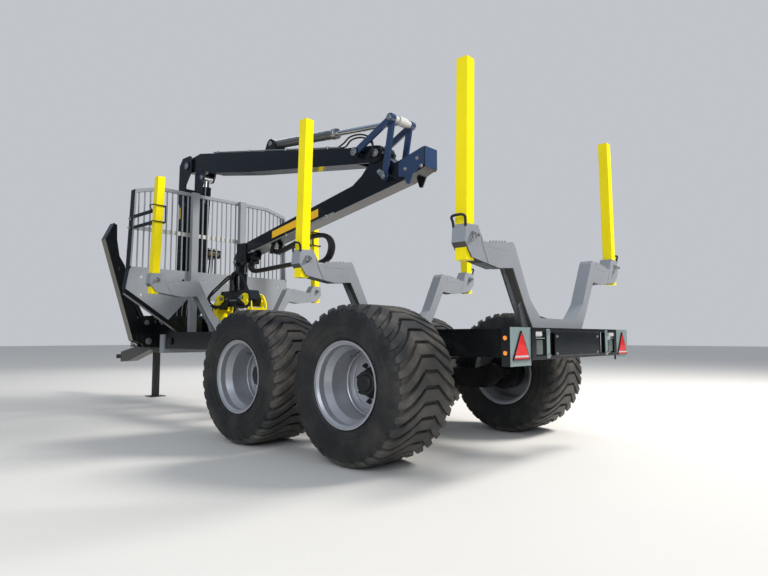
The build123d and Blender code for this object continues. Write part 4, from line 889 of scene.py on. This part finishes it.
JIB_TUBE = [(-1.32, 0.096, 2.139), (-0.8, 0.096, 2.044), (-0.3, 0.096, 1.953), (0.15, 0.096, 1.871)]
JIB_CLAMPS = [(-1.2, 2.117), (-0.55, 1.998), (0.08, 1.884)]
SLEEVE = [
    (0.17, 0, 1.80), (0.24, 0, 1.735), (0.20, 0, 1.675), (0.10, 0, 1.662), (-0.25, 0, 1.675),
    (-0.585, 0, 1.685), (-0.85, 0, 1.662), (-1.043, 0, 1.668), (-1.15, 0, 1.72), (-1.185, 0, 1.83),
    (-1.12, 0, 1.925), (-0.96, 0, 1.958), (-0.70, 0, 1.935), (-0.511, 0, 1.890), (-0.30, 0, 1.845),
    (-0.22, 0, 1.86),
]
SLEEVE_LUGS = [
    # x and z of a lug's outline, distances of its faces from the middle plane
    ([(0.10, 1.88), (0.19, 1.862), (0.185, 1.80), (0.12, 1.80)], (0.046, 0.054)),
    ([(-0.31, 1.955), (-0.23, 1.94), (-0.19, 1.84), (-0.25, 1.82)], (0.048, 0.056)),
]


def add_pins():
    """Bright ends on the crane's and stabilisers' pins."""
    forms = {}
    for body, x, z, y, radius in PIN_CAPS:
        form = forms.setdefault(body, Form())
        for sign in SIGNS:
            form.cap((x, sign * y, z), (0, sign, 0), radius)
    for body, form in forms.items():
        form.finish(f"pin_caps_{body}", body, "zinc")
    legs = Form()
    for sign in SIGNS:
        for y, z, radius in LEG_PINS:
            legs.cap((LEG_PIN_X, sign * y, z), (-1, 0, 0), radius)
    legs.finish("pin_caps_legs", "chassis", "zinc")


def add_jib_fixings():
    """Keeper plates at the links' pin on the jib, and the bolts of the jib's tail."""
    keeper = Form()
    for sign in SIGNS:
        keeper.plate(KEEPER, 1, *span(sign, *KEEPER_SPAN))
        for x, z in KEEPER_BOLTS:
            keeper.bolt((x, sign * KEEPER_SPAN[1], z), (0, sign, 0), 0.024, 0.3)
    keeper.finish("pin_keepers", "jib_arm", "zinc")
    tail = Form()
    for x, z in TAIL_BOLTS:
        for sign in SIGNS:
            tail.bolt((x, sign * TAIL_FACE_Y, z), (0, sign, 0), 0.03, 0.3)
    tail.finish("tail_bolts", "jib_arm", "zinc")


def add_jib_gland():
    """The bright gland collar at the open end of the jib cylinder's barrel."""
    gland = Form()
    spot = Vector(JIB_CYLINDER_FOOT) + Vector(JIB_CYLINDER_AIM) * GLAND_ALONG
    r = JIB_BARREL_RADIUS
    profile = [
        (0, r), (0.001, r + 0.006), (0.040, r + 0.006), (0.044, r + 0.002), (0.048, r + 0.004),
        (0.056, r + 0.002), (0.057, r - 0.010),
    ]
    gland.turned(spot, JIB_CYLINDER_AIM, profile, 36)
    gland.finish("gland_jib_cylinder", "jib_cylinder", "zinc")


def boom_top(x):
    """The level of the boom's upper face."""
    (rear_x, rear_z), (front_x, front_z) = BOOM_TOP_REAR, BOOM_TOP_FRONT
    slope = (front_z - rear_z) / (front_x - rear_x)
    return rear_z + (x - rear_x) * slope


def add_boom_lines():
    """Steel tubes along the boom and the hoses over its elbow."""
    tubes, hoses = Form(), Form()
    for y in TUBE_Y:
        tubes.pipe([(x, y, boom_top(x) + 0.014) for x in (1.0, 0.4, -0.2, -0.8, -1.4)], 0.009, 10)
    for x in (0.9, 0.2, -0.5, -1.2):
        top = boom_top(x)
        tubes.block((x - 0.02, x + 0.02), (0.044, 0.098), (top - 0.004, top + 0.027), 0.003)
    tubes.finish("boom_tubes", "boom", "zinc")
    for k, y in enumerate(TUBE_Y):
        lift = 0.03 * k
        line = [
            (-1.36, y, 2.807), (-1.45, y + 0.005, 2.80 + lift), (-1.58, 0.112 + 0.014 * k, 2.825 + lift),
            (-1.72, 0.131, 2.815 + lift), (-1.83, 0.131, 2.77 + lift), (-1.89, 0.131, 2.70 + lift),
            (-1.86 - 0.03 * k, 0.128, 2.645), (-1.82 - 0.05 * k, 0.120, 2.60),
        ]
        hoses.pipe(line, 0.0085, 10)
    hoses.finish("elbow_hoses", "boom", "tyre_rubber", HOSE)


def add_jib_lines():
    """The blank warning strip and the steel tube on the jib's side."""
    strip = Form()
    strip.plate(WARNING_OUTLINE, 1, 0.0868, 0.0884, 0.0006)
    strip.finish("warning_strip", "jib_arm", "stake_yellow", WARNING)
    rail = Form()
    rail.pipe(JIB_TUBE, 0.008, 10)
    for x, z in JIB_CLAMPS:
        rail.block((x - 0.018, x + 0.018), (0.084, 0.107), (z - 0.014, z + 0.014), 0.003)
    rail.finish("jib_tube", "jib_arm", "zinc")


def add_hose_sleeve():
    """The sleeved hoses in their loop under the jib, held by clips at both ends."""
    sleeve = Form()
    sleeve.pipe(SLEEVE, 0.025, 20, wide=1.9)
    sleeve.finish("hose_sleeve", "jib_arm", "tyre_rubber", HOSE)
    clips = Form()
    clips.block((0.12, 0.19), (-0.052, 0.052), (1.80, 1.83))
    clips.block((-0.245, -0.195), (-0.054, 0.054), (1.845, 1.885))
    for outline, faces in SLEEVE_LUGS:
        for sign in (-1, 1):
            clips.plate(outline, 1, *span(sign, *faces))
    clips.bolt((-0.24, 0.056, 1.87), (0, 1, 0), 0.022, 0.3)
    clips.bolt((0.155, 0.054, 1.83), (0, 1, 0), 0.022, 0.3)
    clips.finish("sleeve_clips", "jib_arm", "cast_black")


# Grapple

COVER = [(0.325, 1.27), (0.62, 1.27), (0.635, 1.33), (0.60, 1.405), (0.34, 1.405), (0.31, 1.33)]     # x, z
COVER_SPAN = (0.0895, 0.0945)
SLOT_SPAN = (0.0943, 0.0953)
HOSE_ARM_POST = [(0.430, 1.43), (0.514, 1.43), (0.505, 1.63), (0.439, 1.63)]     # x, z
HOSE_ARM_FOOT = [(0.40, 0.085), (0.544, 0.085), (0.53, 0.122), (0.414, 0.122)]   # x, y
GUARDED_HOSE = [
    (0.445, 0.134, 1.57), (0.43, 0.137, 1.63), (0.34, 0.142, 1.65), (0.24, 0.145, 1.61),
    (0.15, 0.145, 1.51), (0.065, 0.145, 1.385), (0.045, 0.142, 1.30), (0.09, 0.138, 1.245),
    (0.22, 0.134, 1.23), (0.34, 0.128, 1.25), (0.385, 0.11, 1.275), (0.39, 0.09, 1.285),
]


def add_grapple_covers():
    """The hose arm, the side covers and their slots."""
    arm = Form()
    arm.plate(HOSE_ARM_POST, 1, 0.112, 0.122)
    arm.plate(HOSE_ARM_FOOT, 2, 1.425, 1.437)
    for sign in SIGNS:
        arm.plate(COVER, 1, *span(sign, *COVER_SPAN), 0.003)
    arm.finish("grapple_covers", "grapple", "crane_black")
    slots = Form()
    for sign in SIGNS:
        slots.plate(rectangle((0.39, 0.55), (1.315, 1.329)), 1, *span(sign, *SLOT_SPAN), 0.0003)
        for x in (0.345, 0.60):
            slots.bolt((x, sign * SLOT_SPAN[0], 1.345), (0, sign, 0), 0.02, 0)
    slots.finish("cover_slots", "grapple", "zinc")


def add_grapple_hoses():
    """Two plain hoses and a guarded one from the hose arm to the grapple."""
    hoses = Form()
    for k in (0, 1):
        drop = 0.035 * k
        line = [
            (0.47 - 0.02 * k, 0.134, 1.56), (0.475 - 0.01 * k, 0.136, 1.61 - drop / 2),
            (0.54, 0.139, 1.60 - drop), (0.70, 0.143, 1.52 - drop), (0.86, 0.145, 1.44 - drop),
            (0.955 - drop, 0.142, 1.365), (0.94 - drop, 0.138, 1.285 + drop / 2),
            (0.78, 0.136, 1.24 + drop / 2), (0.62, 0.13, 1.25 + drop / 2),
            (0.575, 0.112, 1.27 + drop / 2), (0.57, 0.09, 1.28 + drop / 2),
        ]
        hoses.pipe(line, 0.0115, 10)
    hoses.finish("grapple_hoses", "grapple", "tyre_rubber", HOSE)
    guarded = Form()
    guarded.pipe(GUARDED_HOSE, 0.0125, 12, 14, 0.0035)
    guarded.finish("guarded_hose", "grapple", "tyre_rubber", HOSE)


# Pillar and grille

VALVE_X = (1.50, 1.74)
VALVE_TOP = 2.08
FLANGE_X = 1.722
FLANGE_Z = 1.301
FLANGE_CIRCLE = 0.15
FLANGE_ANGLES = (0, 22, 68, 90, 112, 158, 180, 202, 248, 270, 292, 338)


def add_pillar_fittings():
    """The control valve on the pillar with its hoses, and the blank labels."""
    valve, ends, hoses = Form(), Form(), Form()
    valve.block(VALVE_X, (-0.36, -0.14), (1.97, VALVE_TOP), 0.006)
    valve.block((1.62, 1.70), (-0.145, -0.105), (1.98, 2.07), 0.004)
    for k in range(5):
        y = -0.335 + 0.043 * k
        for x, out in zip(VALVE_X, (-1, 1)):
            ends.turned((x, y, 2.025), (out, 0, 0), [(0, 0.017), (0.05, 0.017), (0.055, 0.012)], 14)
        ends.turned((1.56, y, VALVE_TOP), (0, 0, 1), [(0, 0.012), (0.03, 0.012), (0.032, 0.008)], 10)
        line = [
            (1.60, y, 1.972), (1.60, y, 1.90), (1.61 + 0.01 * k, y, 1.75), (1.66, y * 0.8 - 0.03, 1.6),
            (1.70, y * 0.5 - 0.08, 1.45), (1.71, y * 0.3 - 0.105, 1.36), (1.71, y * 0.2 - 0.10, 1.30),
        ]
        hoses.pipe(line, 0.0095, 8)
    for k in range(3):
        x = 1.665 + 0.035 * k
        line = [
            (x, 0.104, 1.36), (x, 0.121, 1.42), (x - 0.01, 0.122, 1.8), (x, 0.122, 2.2),
            (x - 0.005, 0.122, 2.5), (x, 0.121, 2.62), (x, 0.104, 2.68),
        ]
        hoses.pipe(line, 0.0105, 10)
    for z in (1.6, 2.05, 2.45):
        valve.block((1.645, 1.755), (0.108, 0.136), (z - 0.015, z + 0.015), 0.003)
    valve.finish("crane_valve", "crane_pillar", "cast_black")
    ends.finish("crane_valve_ends", "crane_pillar", "zinc")
    hoses.finish("pillar_hoses", "crane_pillar", "tyre_rubber", HOSE)
    label = Form()
    label.plate(rectangle((1.775, 1.805), (2.50, 2.66)), 1, 0.1098, 0.111, 0.0004)
    label.plate(rectangle((-0.33, -0.17), (2.0, 2.05)), 0, 1.4985, 1.5002, 0.0004)
    label.finish("pillar_label", "crane_pillar", "stake_yellow", WARNING)


def add_grille_bar():
    """The pale bar across the grille."""
    bar = Form()
    bar.plate(rectangle((-1.10, 1.10), (2.125, 2.175)), 0, 1.0285, 1.0345)
    bar.finish("grille_bar", "chassis", "bunk_grey", SILVER)


# Chassis fittings

RACK_X = (1.602, 1.842)
RACK_Z = 1.11
RACK_BOLT_CIRCLE = 0.055
CAPS = [
    # place, direction, profile, sides: two on the tank's top and one by the left beam
    ((1.25, -0.30, 1.25), (0, 0, 1),
     [(0, 0.05), (0.012, 0.05), (0.014, 0.042), (0.04, 0.042), (0.046, 0.036)], 28),
    ((1.25, -0.16, 1.25), (0, 0, 1), [(0, 0.055), (0.02, 0.055), (0.024, 0.048), (0.03, 0.03)], 28),
    ((1.28, 0.46, 0.828), (0, 1, 0),
     [(0, 0.047), (0.010, 0.047), (0.014, 0.042), (0.014, 0.02), (0.02, 0.018)], 32),
]
LEVER = [(1.265, 1.135), (1.262, 1.2), (1.25, 1.26), (1.235, 1.31)]     # x, z
KNOB = [(0, 0.009), (0.012, 0.015), (0.028, 0.017), (0.042, 0.014), (0.05, 0.006)]
CRANK = [
    (2.822, -0.22, 0.86), (2.825, -0.238, 0.862), (2.86, -0.243, 0.872), (2.915, -0.243, 0.888),
    (2.94, -0.250, 0.895), (2.945, -0.28, 0.896), (2.945, -0.36, 0.896),
]


def add_chassis_fittings():
    """The racks' end caps with their bolts, further caps, and the valve block's levers."""
    caps, bolts, levers, knobs = Form(), Form(), Form(), Form()
    for x in RACK_X:
        for sign in SIGNS:
            out = (0, sign, 0)
            caps.turned((x, sign * 0.40, RACK_Z), out, [(0, 0.078), (0.014, 0.078), (0.018, 0.074)], 32)
            middle = (x, sign * 0.416, RACK_Z)
            for angle in around(6, start=0.5):
                bolts.bolt(on_circle(middle, RACK_BOLT_CIRCLE, angle), out, 0.02, 0.2)
    for cap in CAPS:
        caps.turned(*cap)
    for k in range(5):
        y = 0.13 + 0.065 * k
        caps.turned((1.265, y, 1.11), (0, 0, 1), [(0, 0.02), (0.03, 0.018), (0.034, 0.01)], 16)
        levers.pipe([(x, y, z) for x, z in LEVER], 0.0055, 8)
        knobs.turned((1.236, y, 1.30), (-0.25, 0, 1), KNOB, 16)
    caps.finish("chassis_caps", "chassis", "cast_black")
    bolts.finish("rack_bolts", "chassis", "zinc")
    levers.finish("valve_levers", "chassis", "zinc")
    knobs.finish("lever_knobs", "chassis", "crane_black")


def add_pillar_bolts():
    """The bolts of the pillar's flange."""
    flange = Form()
    for angle in FLANGE_ANGLES:
        a = math.radians(angle)
        spot = (FLANGE_X + FLANGE_CIRCLE * math.cos(a), FLANGE_CIRCLE * math.sin(a), FLANGE_Z)
        flange.bolt(spot, (0, 0, 1), 0.026, 0.5)
    flange.finish("pillar_bolts", "crane_pillar", "zinc")


def add_jack_crank():
    """The jack's crank, and the bolts of the tow eye's plate."""
    crank = Form()
    boss = [(0, 0.028), (0.012, 0.028), (0.014, 0.018), (0.04, 0.016)]
    crank.turned((2.822, -0.186, 0.86), (0, -1, 0), boss, 20)
    crank.pipe(CRANK, 0.007, 10)
    for y in (-0.05, 0.05):
        for z in (0.53, 0.625):
            crank.bolt((3.58, y, z), (1, 0, 0), 0.03, 0.3)
    crank.finish("jack_crank", "towing_frame", "zinc")


# Stage

def add_camera():
    """The camera at the photograph's viewpoint."""
    camera = bpy.data.objects.new("camera", bpy.data.cameras.new("camera"))
    bpy.context.scene.collection.objects.link(camera)
    yaw, pitch = math.radians(CAMERA_YAW), math.radians(CAMERA_PITCH)
    forward = Vector((math.cos(yaw) * math.cos(pitch), math.sin(yaw) * math.cos(pitch), math.sin(pitch)))
    camera.location = CAMERA_PLACE
    camera.rotation_mode = "QUATERNION"
    camera.rotation_quaternion = forward.to_track_quat("-Z", "Y")
    camera.data.lens = CAMERA_LENS
    camera.data.sensor_width = CAMERA_SENSOR
    camera.data.clip_end = CAMERA_REACH
    bpy.context.scene.camera = camera


def add_light(name, place, target, size, power, colour, mirrored):
    """A square soft light aimed at a point. One that isn't mirrored leaves no white patch on shiny tops."""
    light = bpy.data.lights.new(name, "AREA")
    light.size = size
    light.energy = power
    light.color = colour
    lamp = bpy.data.objects.new(name, light)
    bpy.context.scene.collection.objects.link(lamp)
    lamp.location = place
    lamp.rotation_mode = "QUATERNION"
    lamp.rotation_quaternion = (Vector(target) - Vector(place)).to_track_quat("-Z", "Y")
    lamp.visible_glossy = mirrored


def add_floor():
    """The pale floor."""
    bm = bmesh.new()
    bmesh.ops.create_grid(bm, x_segments=1, y_segments=1, size=FLOOR_HALF)
    mesh = bpy.data.meshes.new("studio_floor")
    bm.to_mesh(mesh)
    bm.free()
    floor = bpy.data.objects.new("studio_floor", mesh)
    bpy.context.scene.collection.objects.link(floor)
    mesh.materials.append(floor_material())


def add_world():
    """An even backdrop, which shiny surfaces mirror as a dome that brightens upwards."""
    world = bpy.data.worlds.new("studio")
    bpy.context.scene.world = world
    world.use_nodes = True
    tree = world.node_tree
    background = tree.nodes["Background"]
    upward = tree.nodes.new("ShaderNodeSeparateXYZ")
    tree.links.new(tree.nodes.new("ShaderNodeTexCoord").outputs["Generated"], upward.inputs["Vector"])
    dome = tree.nodes.new("ShaderNodeValToRGB")
    dome.color_ramp.elements[0].position = 0.0
    dome.color_ramp.elements[0].color = MIRRORED_LOW
    dome.color_ramp.elements[1].position = MIRRORED_RISE
    dome.color_ramp.elements[1].color = MIRRORED_HIGH
    tree.links.new(upward.outputs["Z"], dome.inputs["Fac"])
    choice = tree.nodes.new("ShaderNodeMix")
    choice.data_type = "RGBA"
    choice.inputs["A"].default_value = BACKDROP
    tree.links.new(tree.nodes.new("ShaderNodeLightPath").outputs["Is Glossy Ray"], choice.inputs["Factor"])
    tree.links.new(dome.outputs["Color"], choice.inputs["B"])
    tree.links.new(choice.outputs["Result"], background.inputs["Color"])
    background.inputs["Strength"].default_value = WORLD_STRENGTH


add_camera()
add_floor()
add_world()
for row in LIGHTS:
    add_light(*row)
bpy.context.scene.view_settings.view_transform = "Standard"
dress_nodes()
add_tyres()
add_hubs()
add_bunk_fittings()
add_stake_guards()
add_rear_bar()
add_side_markers()
add_pins()
add_jib_fixings()
add_jib_gland()
add_boom_lines()
add_jib_lines()
add_hose_sleeve()
add_grapple_covers()
add_grapple_hoses()
add_pillar_fittings()
add_grille_bar()
add_chassis_fittings()
add_pillar_bolts()
add_jack_crank()
